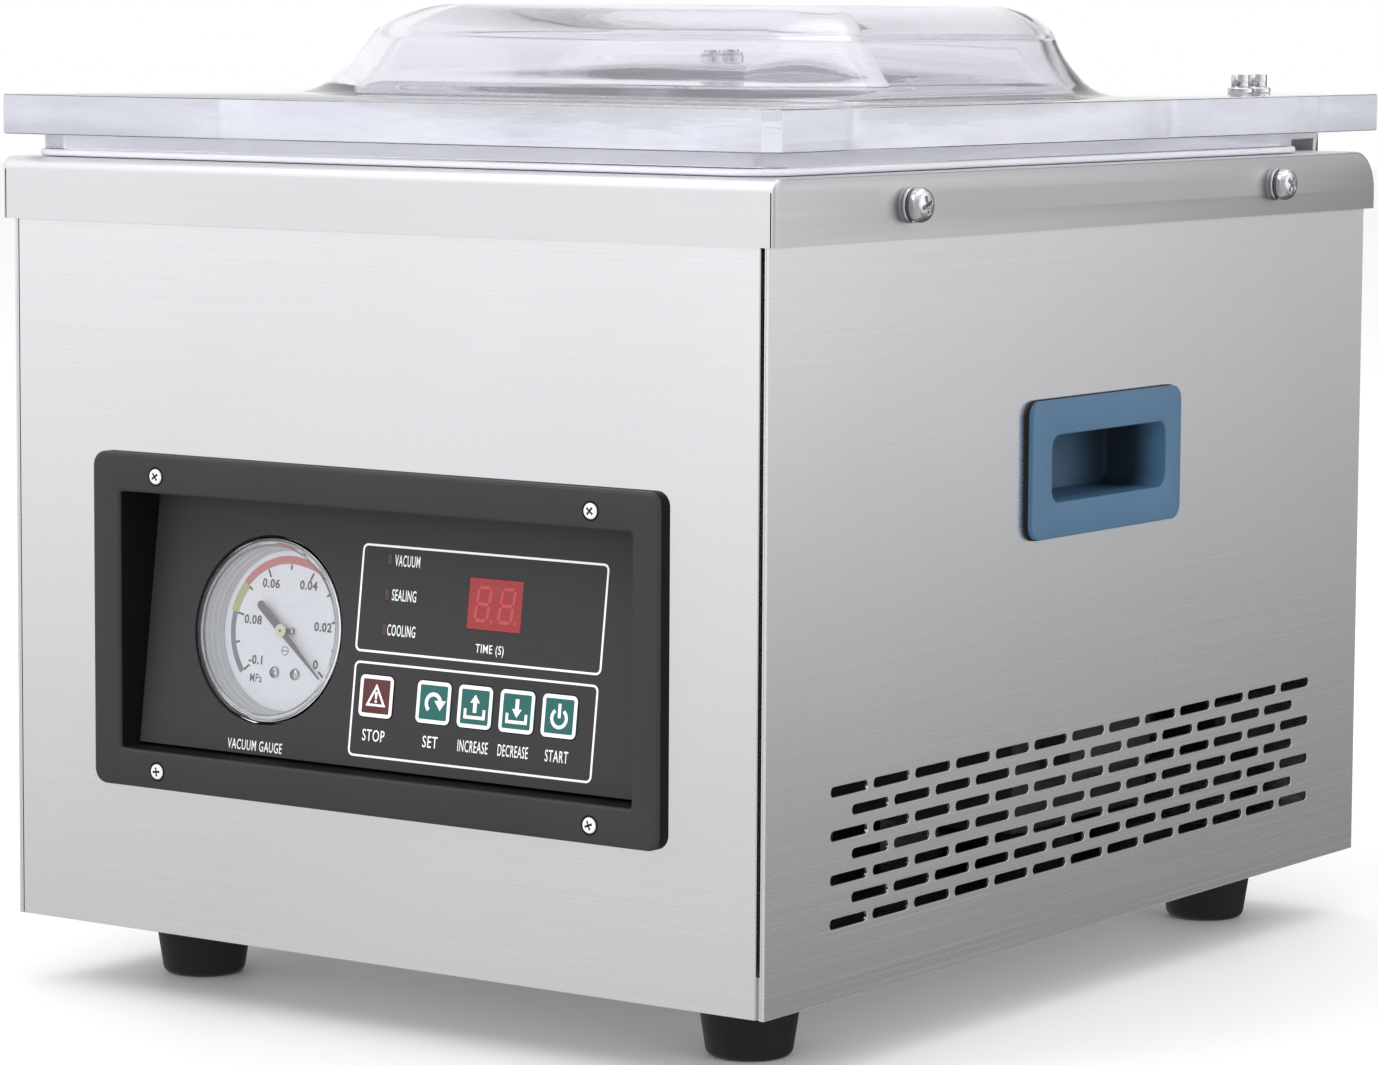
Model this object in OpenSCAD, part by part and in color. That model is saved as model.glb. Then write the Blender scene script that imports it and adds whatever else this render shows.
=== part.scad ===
// Tabletop chamber vacuum packing machine.
// Origin on the ground under the middle of the case, +Z up, front towards -Y.

/* [Case] */
// Width across the side panels
case_w = 323; // [315:1:335]
// Depth from the front panel to the back panel
case_d = 410; // [404:1:420]
// Height from the underside of the case to the top of the cover
case_h = 271.6; // [265:0.2:285]
// Thickness of the sheet steel
sheet = 1.2; // [1:0.1:1.5]
// Height of the rubber feet
foot_h = 25; // [20:1:30]

/* [Top cover] */
// How far the cover stands out past each side panel
cover_side = 3.5; // [3:0.1:5]
// How far the cover stands out past the front and the back panel
cover_end = 2.3; // [2:0.1:3]
// Depth of the cover's lip
cover_lip = 22; // [20:1:26]

/* [Lid] */
// Width of the clear lid
lid_w = 332.4; // [326:0.2:334]
// Depth of the clear lid
lid_d = 420.2; // [414:0.2:421]
// Thickness of the lid's flat flange
lid_t = 14; // [12:1:16]
// Space between the cover and the flange
lid_gap = 7.9; // [7.5:0.1:9]
// Height of the dome above the flange
dome_h = 32.8; // [28:0.2:36]

/* [Chamber] */
// Inside width of the chamber
chamber_w = 280; // [270:1:282]
// Inside depth of the chamber, front to back
chamber_d = 328; // [320:1:330]
// Depth of the chamber below the cover
chamber_h = 55; // [50:1:58]

/* [Controls] */
// Backward lean of the control plate, degrees
plate_tilt = 7.5; // [6:0.5:9]
// Side of a square key
key_size = 14.5; // [13:0.1:14.6]
// Travel of a key
key_travel = 0.6; // [0.3:0.1:0.8]
// Radius of the gauge's lens ring
gauge_r = 32.2; // [31:0.1:32.4]

/* [Vents] */
// Length of one vent slot
slot_len = 22.5; // [18:0.5:23]
// Height of one vent slot
slot_h = 3.4; // [2.5:0.1:4]
// Distance from one slot to the next in a row
slot_pitch = 25.9; // [25.5:0.1:26.2]
// Distance between two rows
row_pitch = 7.33; // [6.5:0.01:7.6]

/* [Hidden] */
$fn = 48;
eps = 0.01;
air = 0.1;

half_w = case_w / 2;
half_d = case_d / 2;
floor_z = foot_h;
cover_top = foot_h + case_h;
panel_top = cover_top - sheet - 0.6;
cover_w = case_w + 2 * cover_side;
cover_d = case_d + 2 * cover_end;
cover_z = cover_top - cover_lip;
front_bend = 4;
rear_bend = 15;
rear_top = 284;

// front panel: a seam is left beside each side panel's folded edge
edge_return = 1.8;
edge_seam = 1.6;
front_w = case_w - 2 * (edge_return + edge_seam);
return_depth = 10;

// lid, seen from above
flange_z = cover_top + lid_gap;
lid_top = flange_z + lid_t;
lid_chamfer = 4.8;
rim_w = 315;
rim_front = -201.8;
rim_rear = 163;
rim_r = 14;
rim_land = 10;
rim_h = 5.3;
gasket_lip = 1.5;
gasket_w = 12;
gasket_gap = 0.3;

// dome: base outline on the flange, then a fillet, a straight wall and a crown on each side
dome_half_w = 130;
dome_front = -118;
dome_rear = 104;
dome_base_r = 43;
dome_top_r = 16;
dome_wall = 5.5;
dome_skin = 4.5;
front_wall = [45, 18, 50];
side_wall = [52, 16, 32];
rear_wall = [62, 14, 18];
dome_levels = 10;
corner_steps = 8;

// chamber
chamber_y = -19;
chamber_r = 25;
tub_t = 1.5;
tub_top = cover_top - sheet - air;
tub_floor = cover_top - chamber_h - tub_t;
suction_y = 129;

// seal bar in the front of the chamber
bar_y = -165;
bar_len = 262;
bar_w = 12;
bar_z = 264;
bar_h = 17;
piston_x = 90;
rod_r = 5;
rod_fit = 0.06;
piston_head_z = 219;
piston_head_h = 6;
piston_head_r = 9;
cylinder_r = 14;
cylinder_bore = 9.3;
cylinder_z = 198;
cylinder_roof = 234;

// control panel
bezel_t = 6;
bezel_x = 1.7;
bezel_w = 243.8;
bezel_z = 135.8;
bezel_h = 117.6;
bezel_r = 5;
recess_x = 2.4;
recess_w = 220.2;
recess_z = 135.7;
recess_h = 90.6;
recess_wall = 3;
recess_back = -176;
plate_y0 = -201;
plate_z0 = 91;
plate_t = 3;
plate_h = 89.4;
plate_s0 = 0.5;
gauge_x = -53.5;
gauge_s = 44;
gauge_hole_r = 33;
display_w = 22.6;
display_h = 17.4;
display_pos = [43.6, 59.9];
light_x = -2.5;
light_s = [72.1, 60.2, 48.2];
light_size = [1.8, 4];
key_s = 25.2;
stop_x = -3.4;
first_key_x = 21.3;
key_pitch = 17.6;
key_r = 2;
key_proud = 0.3;
key_back = -2;
key_gap = 0.2;
dial_z = -10.3;
dial_t = 0.6;
needle_z = -7.4;
zero_angle = -40;

// carrying handles
handle_y = 6.5;
handle_z = 191.2;
handle_w = 104;
handle_h = 48.4;
handle_flange = 3;
pocket_y = 7.5;
pocket_w = 80;
pocket_h = 23.6;
pocket_depth = 22.5;
pocket_wall = 2.5;

// vents
vent_top_z = 94.7;
vent_rows = 7;
slots_in_row = 13;

// feet
foot_x = 120;
foot_front_y = -152;
foot_rear_y = 163;
foot_top_r = 18;
foot_low_r = 15;
foot_places = [[-foot_x, foot_front_y], [foot_x, foot_front_y], [-foot_x, foot_rear_y], [foot_x, foot_rear_y]];

// cover screws
cover_screw_y = 127;
cover_screw_z = 286;
m6_r = 3;
m6_hole = 3.4;

// hinge
hinge_y = 211;
hinge_z = 290;
shaft_r = 3;
shaft_fit = 0.05;
shaft_half = 143;
knuckle_r = 4.5;
arm_x = 122;
arm_w = 28;
arm_t = 4;
lid_bolt_y = [177, 191];
ear_t = 3;
ear_gap = 0.5;

// pump and motor
motor_y = 100;
motor_z = 98;
motor_r = 50;
motor_x0 = -125;
pump_x0 = 10;
pump_size = [90, 100, 105];
pump_z0 = 45;
pump_in = [55, 129];
valve_z = 165.2;
hose_r = 8;
hose_bore = 5.5;
hose_bend = 16;

// back panel fittings
switch_pos = [100, 70];
gland_pos = [-100, 70];
gland_bore = 4.2;
gland_tail = 26;
rocker_rest = 10;
rocker_y = 202;
trunnion_r = 1.2;

// lid switch
lid_switch_pos = [-60, 180];
plunger_r = 2;

// ---- shared shapes ----

// Rectangle with round corners, centred
module rounded(w, h, r) {
    square([w - 2 * r, h], center = true);
    square([w, h - 2 * r], center = true);
    for (sx = [-1, 1], sy = [-1, 1])
        translate([sx * (w / 2 - r), sy * (h / 2 - r)]) circle(r);
}

// Slot with round ends, lying along the first axis
module slot(len, h) {
    square([len - h, h], center = true);
    for (s = [-1, 1]) translate([s * (len - h) / 2, 0]) circle(h / 2);
}

// Box from its low and its high corner
module span(low, high) {
    translate(low) cube(high - low);
}

// Drawing in Y and Z, given a thickness along +X from x
module wall_x(x, t) {
    translate([x, 0, 0]) rotate([90, 0, 90]) linear_extrude(t) children();
}

// Drawing in X and Z, given a thickness along +Y from y
module wall_y(y, t) {
    translate([0, y + t, 0]) rotate([90, 0, 0]) linear_extrude(t) children();
}

// Cylinder along +X and along +Y
module rod_x(x, len, r) {
    translate([x, 0, 0]) rotate([0, 90, 0]) cylinder(h = len, r = r);
}

module rod_y(y, len, r) {
    translate([0, y, 0]) rotate([-90, 0, 0]) cylinder(h = len, r = r);
}

// The control plate's own frame: x across, y up the plate, z out of its face
module on_plate() {
    translate([0, plate_y0, plate_z0]) rotate([90 - plate_tilt, 0, 0]) children();
}

// Pan-head screw with a cross recess, its head on z = 0 and its shank going down
module pan_screw(r, head_r, head_h, len) {
    difference() {
        union() {
            intersection() {
                cylinder(h = head_h, r = head_r);
                translate([0, 0, head_h - head_r * 1.5]) sphere(head_r * 1.5);
            }
            translate([0, 0, -len]) cylinder(h = len + eps, r = r);
        }
        for (a = [0, 90])
            rotate([0, 0, a]) translate([-head_r * 0.45, -head_r * 0.1, head_h * 0.45])
                cube([head_r * 0.9, head_r * 0.2, head_h]);
    }
}

// Hexagonal nut with a round hole
module nut(across, h, hole) {
    difference() {
        cylinder(h = h, r = across / 2 / cos(30), $fn = 6);
        translate([0, 0, -eps]) cylinder(h = h + 2 * eps, r = hole);
    }
}

// ---- case ----

module base_plate() {
    color("silver") difference() {
        span([-half_w + sheet + air, -half_d + sheet + air, floor_z],
             [half_w - sheet - air, half_d - sheet - air, floor_z + 14]);
        span([-half_w + 2 * sheet + air, -half_d + 2 * sheet + air, floor_z + 1.5],
             [half_w - 2 * sheet - air, half_d - 2 * sheet - air, floor_z + 15]);
        for (p = foot_places)
            translate([p[0], p[1], floor_z - 1]) cylinder(h = 4, r = 2.75);
        for (i = [-3 : 3])
            translate([i * 20, -60, floor_z - 1]) linear_extrude(4) rotate(90) slot(60, 5);
    }
}

module front_outline() {
    difference() {
        translate([-front_w / 2, floor_z]) square([front_w, panel_top - floor_z]);
        translate([recess_x, recess_z])
            square([recess_w + 2 * recess_wall + 1, recess_h + 2 * recess_wall + 1], center = true);
        for (p = panel_screw_places()) translate(p) circle(1.7);
    }
}

module front_panel() {
    color("gainsboro") {
        wall_y(-half_d, sheet) front_outline();
        for (s = [0, 1]) mirror([s, 0, 0])
            span([front_w / 2 - sheet, -half_d + sheet - eps, floor_z + 16],
                 [front_w / 2, -half_d + return_depth, panel_top]);
    }
}

function row_z(row) = vent_top_z - row * row_pitch;
function row_count(row) = slots_in_row - row % 2;

module vents() {
    for (row = [0 : vent_rows - 1], i = [0 : row_count(row) - 1])
        translate([(i - (row_count(row) - 1) / 2) * slot_pitch, row_z(row)]) slot(slot_len, slot_h);
}

module side_outline() {
    difference() {
        polygon([[-half_d, floor_z], [half_d, floor_z], [half_d, rear_top], [half_d - 11, panel_top],
                 [-half_d, panel_top]]);
        vents();
        translate([pocket_y, handle_z]) square([pocket_w + 2 * pocket_wall + 1, pocket_h + 2 * pocket_wall + 1],
                                               center = true);
        for (s = [-1, 1]) translate([s * cover_screw_y, cover_screw_z]) circle(m6_hole);
    }
}

// Right side panel, with a narrow folded edge at the front and at the back
module side_panel() {
    wall_x(half_w - sheet, sheet) side_outline();
    for (s = [0, 1]) mirror([0, s, 0])
        span([half_w - edge_return, -half_d, floor_z],
             [half_w - sheet + eps, -half_d + sheet, s == 0 ? panel_top : rear_top]);
}

module right_side_panel() {
    color("darkgray") side_panel();
}

module left_side_panel() {
    color("darkgray") mirror([1, 0, 0]) side_panel();
}

function bracket_screw_places() = [for (sx = [-1, 1], z = [241, 262]) [sx * arm_x, z]];
function rear_screw_places() = concat(
    [for (sx = [-1, 1], z = [45, 130, 215]) [sx * (front_w / 2 - 6), z]],
    bracket_screw_places());

module back_panel() {
    color("silver") {
        wall_y(half_d - sheet, sheet) difference() {
            translate([-front_w / 2, floor_z]) square([front_w, rear_top - floor_z]);
            for (i = [-6 : 6], j = [0, 1, 2]) translate([i * 12, 110 + j * 34]) rotate(90) slot(26, 4);
            for (p = rear_screw_places()) translate(p) circle(1.8);
            translate(switch_pos) square([27.4, 20.6], center = true);
            translate(gland_pos) circle(8.3);
        }
        for (s = [0, 1]) mirror([s, 0, 0])
            span([front_w / 2 - sheet, half_d - return_depth, floor_z + 16],
                 [front_w / 2, half_d - sheet + eps, rear_top]);
    }
}

// Side view of the cover, filled, pulled in by t
module cover_profile(t) {
    y0 = -cover_d / 2 + t;
    y1 = cover_d / 2 - t;
    z1 = cover_top - t;
    rf = front_bend - t;
    rr = rear_bend - t;
    z0 = t > 0 ? cover_z - 1 : cover_z;
    intersection() {
        translate([y0, z0]) square([y1 - y0, z1 - z0]);
        union() {
            translate([y0, z0]) square([y1 - y0, z1 - rr - z0]);
            translate([y0 + rf, z0]) square([y1 - rr - y0 - rf, z1 - z0]);
            translate([y0, z0]) square([y1 - rr - y0, z1 - rf - z0]);
            translate([y0 + rf, z1 - rf]) circle(rf);
            translate([y1 - rr, z1 - rr]) circle(rr);
        }
    }
}

module top_cover() {
    seam = 0.5;
    color("silver") difference() {
        wall_x(-cover_w / 2, cover_w) cover_profile(0);
        wall_x(-cover_w / 2 + sheet, cover_w - 2 * sheet) cover_profile(sheet);
        translate([0, chamber_y, cover_top - 4]) linear_extrude(6)
            rounded(chamber_w + 2 * tub_t + 1, chamber_d + 2 * tub_t + 1, chamber_r + 2);
        for (s = [-1, 1]) translate([0, s * cover_screw_y, cover_screw_z])
            rod_x(-cover_w, 2 * cover_w, m6_hole);
        for (s = [0, 1]) mirror([s, 0, 0])
            span([cover_w / 2 - sheet - seam, -cover_d / 2 - 1, cover_z - 1],
                 [cover_w / 2 - sheet, -cover_d / 2 + sheet, cover_top - front_bend]);
        translate([lid_switch_pos[0], lid_switch_pos[1], cover_top - 4]) cylinder(h = 6, r = 4);
    }
}

// ---- chamber ----

module chamber_tub() {
    out_w = chamber_w + 2 * tub_t;
    out_d = chamber_d + 2 * tub_t;
    color("silver") difference() {
        translate([0, chamber_y, 0]) union() {
            translate([0, 0, tub_top - tub_t]) linear_extrude(tub_t) rounded(out_w + 14, out_d + 14, chamber_r + 8);
            translate([0, 0, tub_floor]) linear_extrude(tub_top - tub_floor - eps) rounded(out_w, out_d, chamber_r + tub_t);
        }
        translate([0, chamber_y, tub_floor + tub_t]) linear_extrude(chamber_h + 5) rounded(chamber_w, chamber_d, chamber_r);
        for (s = [-1, 1]) translate([s * piston_x, bar_y, tub_floor - 1]) cylinder(h = 5, r = rod_r + rod_fit);
        translate([0, suction_y, tub_floor - 1]) cylinder(h = 5, r = hose_bore);
    }
}

module filler_plate() {
    color("whitesmoke") translate([0, -14, tub_floor + tub_t + 0.05]) linear_extrude(12) difference() {
        rounded(268, 252, 12);
        for (s = [-1, 1]) translate([s * 100, 0]) circle(11);
    }
}

module suction_strainer() {
    color("silver") translate([0, suction_y, tub_floor + tub_t + 0.05]) difference() {
        cylinder(h = 5, r = 13);
        translate([0, 0, -eps]) cylinder(h = 3.5, r = 11.5);
        for (a = [0 : 45 : 315]) rotate([0, 0, a]) translate([7, 0, 2]) cylinder(h = 5, r = 1.4);
        translate([0, 0, 2]) cylinder(h = 5, r = 1.4);
    }
}

// ---- seal bar ----

module seal_bar() {
    color("lightgray") difference() {
        translate([-bar_len / 2, bar_y - bar_w / 2, bar_z]) cube([bar_len, bar_w, bar_h]);
        for (s = [0, 1]) translate([0, bar_y, 0]) mirror([0, s, 0]) translate([0, -bar_y, 0])
            translate([-bar_len / 2 - 1, bar_y + bar_w / 2 - 1.5, bar_z + 5]) cube([bar_len + 2, 3, 5]);
    }
}

module seal_bar_insulator() {
    color("saddlebrown") translate([-bar_len / 2, bar_y - 4, bar_z + bar_h + 0.02]) cube([bar_len, 8, 1.5]);
}

module heating_ribbons() {
    color("goldenrod") for (s = [-1, 1])
        translate([-bar_len / 2 + 2, bar_y + s * 2 - 1.2, bar_z + bar_h + 1.54]) cube([bar_len - 4, 2.4, 0.25]);
}

module lift_pistons() {
    color("silver") for (s = [-1, 1]) translate([s * piston_x, bar_y, 0]) {
        translate([0, 0, piston_head_z]) cylinder(h = piston_head_h, r = piston_head_r);
        translate([0, 0, piston_head_z + 1]) cylinder(h = bar_z - piston_head_z - 1 - 0.02, r = rod_r);
    }
}

module lift_cylinders() {
    color("dimgray") for (s = [-1, 1]) translate([s * piston_x, bar_y, 0]) difference() {
        translate([0, 0, cylinder_z]) cylinder(h = tub_floor - air - cylinder_z, r = cylinder_r);
        translate([0, 0, cylinder_z + 4]) cylinder(h = cylinder_roof - cylinder_z - 4, r = cylinder_bore);
        translate([0, 0, cylinder_roof - 1]) cylinder(h = 20, r = rod_r + rod_fit);
        translate([0, 0, cylinder_z - 1]) cylinder(h = 6, r = 3);
    }
}

module lift_springs() {
    low = piston_head_z + piston_head_h + 0.05;
    color("silver") for (s = [-1, 1]) translate([s * piston_x, bar_y, low]) difference() {
        cylinder(h = cylinder_roof - 0.05 - low, r = 8.4);
        translate([0, 0, -1]) cylinder(h = 20, r = 6.2);
    }
}

// ---- control panel ----

function panel_screw_places() = [for (sx = [-1, 1], sz = [-1, 1]) [2.6 + sx * 93.4, 135.2 + sz * 51.8]];

module panel_bezel() {
    color("#444446") difference() {
        union() {
            wall_y(-half_d - bezel_t, bezel_t - 0.05) translate([bezel_x, bezel_z]) rounded(bezel_w, bezel_h, bezel_r);
            wall_y(-half_d - bezel_t + 1, recess_back + half_d + bezel_t - 1) translate([recess_x, recess_z])
                square([recess_w + 2 * recess_wall, recess_h + 2 * recess_wall], center = true);
        }
        wall_y(-half_d - bezel_t - 1, 60) translate([recess_x, recess_z]) square([recess_w, recess_h], center = true);
        for (p = panel_screw_places()) translate([p[0], 0, p[1]]) {
            rod_y(-half_d - bezel_t - 1, 10, 1.7);
            rod_y(-half_d - bezel_t - 1, 2, 3.2);
        }
    }
}

module key_row() {
    for (x = key_places()) translate([x, key_s]) children();
}

function key_places() = concat([stop_x], [for (i = [0 : 3]) first_key_x + i * key_pitch]);

module control_overlay() {
    color("#3c3c3e") on_plate() translate([0, 0, -plate_t]) linear_extrude(plate_t) difference() {
        translate([recess_x, plate_s0 + plate_h / 2]) square([recess_w - 0.4, plate_h], center = true);
        translate([gauge_x, gauge_s]) circle(gauge_hole_r);
        translate(display_pos) square([display_w + 0.2, display_h + 0.2], center = true);
        for (s = light_s) translate([light_x, s]) square([light_size[0] + 0.2, light_size[1] + 0.2], center = true);
        key_row() rounded(key_size + 2 * key_gap, key_size + 2 * key_gap, key_r + key_gap);
    }
}

module display_window() {
    color("firebrick") on_plate() translate([display_pos[0], display_pos[1], -2.2]) linear_extrude(2.15)
        square([display_w, display_h], center = true);
}

module indicator_lights() {
    color("red") on_plate() for (s = light_s) translate([light_x, s, -2.2]) linear_extrude(2.2)
        square(light_size, center = true);
}

module control_board() {
    board_z = -14;
    color("darkgreen") on_plate() {
        translate([-16, 4, board_z]) cube([108, 80, 1.6]);
        for (x = [-12, 88], s = [8, 80]) translate([x, s, board_z + 1.5]) cylinder(h = -plate_t - 0.05 - board_z - 1.5, r = 3);
        translate([display_pos[0] - 11, display_pos[1] - 8.5, board_z + 1.5]) cube([22, 17, 9]);
        key_row() translate([0, 0, board_z + 1.5]) cylinder(h = -3.4 - board_z - 1.5, r = 1.8);
        for (x = [8, 70]) translate([x, 48, board_z - 11]) cube([14, 22, 11.1]);
    }
}

module key_cap(x, shade) {
    color(shade) on_plate() translate([x, key_s, key_back]) linear_extrude(key_proud - key_back)
        rounded(key_size, key_size, key_r);
}

module key_stop() { key_cap(key_places()[0], "#8a4040"); }
module key_set() { key_cap(key_places()[1], "#3a9a8a"); }
module key_increase() { key_cap(key_places()[2], "#3a9a8a"); }
module key_decrease() { key_cap(key_places()[3], "#3a9a8a"); }
module key_start() { key_cap(key_places()[4], "#3a9a8a"); }

// ---- vacuum gauge ----

module on_gauge() {
    on_plate() translate([gauge_x, gauge_s, 0]) children();
}

module gauge_case() {
    color("#202022") on_gauge() rotate_extrude()
        polygon([[4.2, -34], [31, -34], [31, -4.8], [30.4, -4.8], [30.4, -32], [4.2, -32]]);
}

module gauge_stem() {
    color("goldenrod") on_gauge() {
        translate([0, 0, -52]) cylinder(h = 30, r = 4.1);
        translate([0, 0, -42]) cylinder(h = 7.9, r = 8, $fn = 6);
    }
}

module gauge_dial() {
    color("white") on_gauge() difference() {
        union() {
            translate([0, 0, dial_z - dial_t]) cylinder(h = dial_t, r = 28.4);
            for (x = [-5.5, 5.5]) translate([x, -12.5, dial_z]) cylinder(h = 1.2, r = 1.7);
        }
        translate([0, 0, dial_z - 2]) cylinder(h = 4, r = 1);
    }
}

module gauge_needle() {
    color("dimgray") on_gauge() rotate([0, 0, zero_angle]) {
        translate([0, 0, needle_z - 0.4]) cylinder(h = 1.4, r = 2.3);
        translate([0, 0, -14]) cylinder(h = 14 + needle_z, r = 0.9);
        translate([0, 0, needle_z]) linear_extrude(0.5) {
            polygon([[0, -1.1], [23.6, -0.3], [23.6, 0.3], [0, 1.1]]);
            translate([-6, 0]) slot(13, 2.8);
        }
    }
}

module gauge_lens() {
    color("white", 0.4) on_gauge() rotate_extrude()
        polygon([[0, -1.8], [0, -0.4], [29, -0.4], [29.4, 0], [31.4, 0], [gauge_r, -0.8], [gauge_r, -4.5],
                 [30.3, -4.5], [30.3, -10.2], [28.8, -10.2], [28.8, -1.8]]);
}

// ---- handles ----

module handle() {
    difference() {
        union() {
            wall_x(half_w + 0.05, handle_flange) translate([handle_y, handle_z]) rounded(handle_w, handle_h, 7);
            wall_x(half_w - pocket_depth - pocket_wall, pocket_depth + pocket_wall + 1)
                translate([pocket_y, handle_z])
                    square([pocket_w + 2 * pocket_wall, pocket_h + 2 * pocket_wall], center = true);
        }
        wall_x(half_w - pocket_depth, pocket_depth + 10) translate([pocket_y, handle_z]) rounded(pocket_w, pocket_h, 4);
    }
}

module handle_right() {
    color("steelblue") handle();
}

module handle_left() {
    color("steelblue") mirror([1, 0, 0]) handle();
}

// ---- feet ----

module rubber_feet() {
    color("#1c1d1f") for (p = foot_places) translate([p[0], p[1], 0]) rotate_extrude()
        polygon([[6, 0], [foot_low_r - 2, 0], [foot_low_r - 0.6, 0.6], [foot_low_r, 2], [foot_top_r, foot_h - 0.02],
                 [2.6, foot_h - 0.02], [2.6, 15], [6, 15]]);
}

module foot_screws() {
    color("silver") for (p = foot_places) translate([p[0], p[1], 0]) {
        translate([0, 0, 11]) cylinder(h = 3.9, r = 4.6);
        translate([0, 0, 14]) cylinder(h = 20, r = 2.5);
        translate([0, 0, floor_z + 1.6]) nut(8, 4, 2.55);
    }
}

// ---- fasteners ----

// Screw, spring washer and flat washer on the cover's lip, with the nut behind the side panel
module cover_screw() {
    face = cover_w / 2;
    translate([0, 0, cover_screw_z]) {
        difference() {
            rod_x(face + 0.05, 1.2, 6);
            rod_x(face - 1, 4, m6_r + 0.05);
        }
        difference() {
            rod_x(face + 1.3, 1.5, 5.4);
            rod_x(face + 1, 4, m6_r + 0.05);
        }
        translate([face + 2.85, 0, 0]) rotate([0, 90, 0]) pan_screw(m6_r, 5.8, 3.9, 17);
        translate([half_w - sheet - 5.2, 0, 0]) rotate([0, 90, 0]) nut(10, 5, m6_r + 0.05);
    }
}

module cover_screws() {
    color("silver") for (s = [0, 1], y = [-1, 1]) mirror([s, 0, 0]) translate([0, y * cover_screw_y, 0]) cover_screw();
}

module panel_screws() {
    color("silver") for (p = panel_screw_places())
        translate([p[0], -half_d - bezel_t + 0.95, p[1]]) rotate([90, 0, 0]) pan_screw(1.5, 2.8, 1.7, 12);
}

module back_panel_screws() {
    color("silver") for (p = rear_screw_places())
        translate([p[0], half_d + (abs(p[0]) < arm_x + 1 ? 3.15 : 0.05), p[1]])
            rotate([-90, 0, 0]) pan_screw(1.6, 3, 2, 9);
}

// ---- hinge ----

// One bracket: a foot on the back panel and two ears that rise behind the cover
module hinge_bracket() {
    x0 = arm_x - arm_w / 2 - ear_gap - ear_t;
    x1 = arm_x + arm_w / 2 + ear_gap;
    difference() {
        union() {
            span([x0, half_d + 0.05, 234], [x1 + ear_t, half_d + 3.05, 271]);
            for (x = [x0, x1]) wall_x(x, ear_t) {
                translate([half_d + 0.05, 234]) square([hinge_y + 5 - half_d - 0.05, 37]);
                translate([half_d + cover_end + 0.5, 234]) square([hinge_y + 5 - half_d - cover_end - 0.5, hinge_z - 234]);
                translate([hinge_y, hinge_z]) intersection() {
                    circle(5);
                    translate([half_d + cover_end + 0.5 - hinge_y, -6]) square(12);
                }
            }
        }
        translate([0, hinge_y, hinge_z]) rod_x(x0 - 1, 60, shaft_r + 0.01);
        for (z = [241, 262]) translate([arm_x, 0, z]) rod_y(half_d - 5, 20, 1.8);
    }
}

module hinge_brackets() {
    color("silver") for (s = [0, 1]) mirror([s, 0, 0]) hinge_bracket();
}

module hinge_shaft() {
    color("silver") translate([0, hinge_y, hinge_z]) rod_x(-shaft_half, 2 * shaft_half, shaft_r);
}

// One arm: a plate under the lid's flange, turned down behind the case to a knuckle
module hinge_arm() {
    low = flange_z - 0.2 - arm_t;
    difference() {
        union() {
            wall_x(arm_x - arm_w / 2, arm_w) {
                translate([168, low]) square([hinge_y + knuckle_r - 168, arm_t]);
                translate([hinge_y + knuckle_r - arm_t, hinge_z]) square([arm_t, low + 1 - hinge_z]);
                translate([hinge_y, hinge_z]) circle(knuckle_r);
            }
        }
        translate([0, hinge_y, hinge_z]) rod_x(arm_x - arm_w, 2 * arm_w, shaft_r + shaft_fit);
        for (y = lid_bolt_y) translate([arm_x, y, low - 1]) cylinder(h = 8, r = 2.1);
    }
}

module hinge_arms() {
    color("silver") for (s = [0, 1]) mirror([s, 0, 0]) hinge_arm();
}

module hinge_springs() {
    color("dimgray") for (s = [0, 1]) mirror([s, 0, 0]) translate([0, hinge_y, hinge_z]) difference() {
        rod_x(64, 36, 5);
        rod_x(60, 50, 3.4);
    }
}

// ---- lid ----

// How far a side has come in at height h, for a wall of [angle, fillet radius, crown radius]
function fillet_h(w) = w[1] * (1 - cos(w[0]));
function crown_h(w) = w[2] * (1 - cos(w[0]));
function straight_in(w, h) = w[1] * sin(w[0]) + (h - fillet_h(w)) / tan(w[0]);
function full_in(w, top) = straight_in(w, top - crown_h(w)) + w[2] * sin(w[0]);
function come_in(w, h, top) =
    h < fillet_h(w) ? sqrt(max(0, pow(w[1], 2) - pow(w[1] - h, 2))) :
    h < top - crown_h(w) ? straight_in(w, h) :
    full_in(w, top) - sqrt(max(0, pow(w[2], 2) - pow(w[2] - (top - h), 2)));

// Corner radius of the dome at height h
function dome_r(h, top) = dome_base_r + (dome_top_r - dome_base_r) * h / top;

// Points of a rounded outline at one level, going round from the right
function outline(half, y0, y1, r, z) = [
    for (c = [[1, 1, 0], [-1, 1, 90], [-1, -1, 180], [1, -1, 270]], k = [0 : corner_steps])
        [c[0] * (half - r) + r * cos(c[2] + 90 * k / corner_steps),
         (c[1] > 0 ? y1 - r : y0 + r) + r * sin(c[2] + 90 * k / corner_steps), z]];

// Heights of the dome's levels, closer together near the base and the crown
function level_h(i, top) = top * (1 - cos(180 * i / dome_levels)) / 2;

function dome_ring(h, top, pull, z) = outline(
    dome_half_w - pull - come_in(side_wall, h, top), dome_front + pull + come_in(front_wall, h, top),
    dome_rear - pull - come_in(rear_wall, h, top), dome_r(h, top) - pull / 2, z);

// Closed solid through a list of rings with the same number of points
module rings(levels) {
    n = len(levels[0]);
    m = len(levels);
    polyhedron(
        points = [for (ring = levels) each ring],
        faces = concat(
            [[for (k = [0 : n - 1]) k]],
            [for (j = [0 : m - 2], k = [0 : n - 1])
                [j * n + k, (j + 1) * n + k, (j + 1) * n + (k + 1) % n, j * n + (k + 1) % n]],
            [[for (k = [n - 1 : -1 : 0]) (m - 1) * n + k]]));
}

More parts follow.
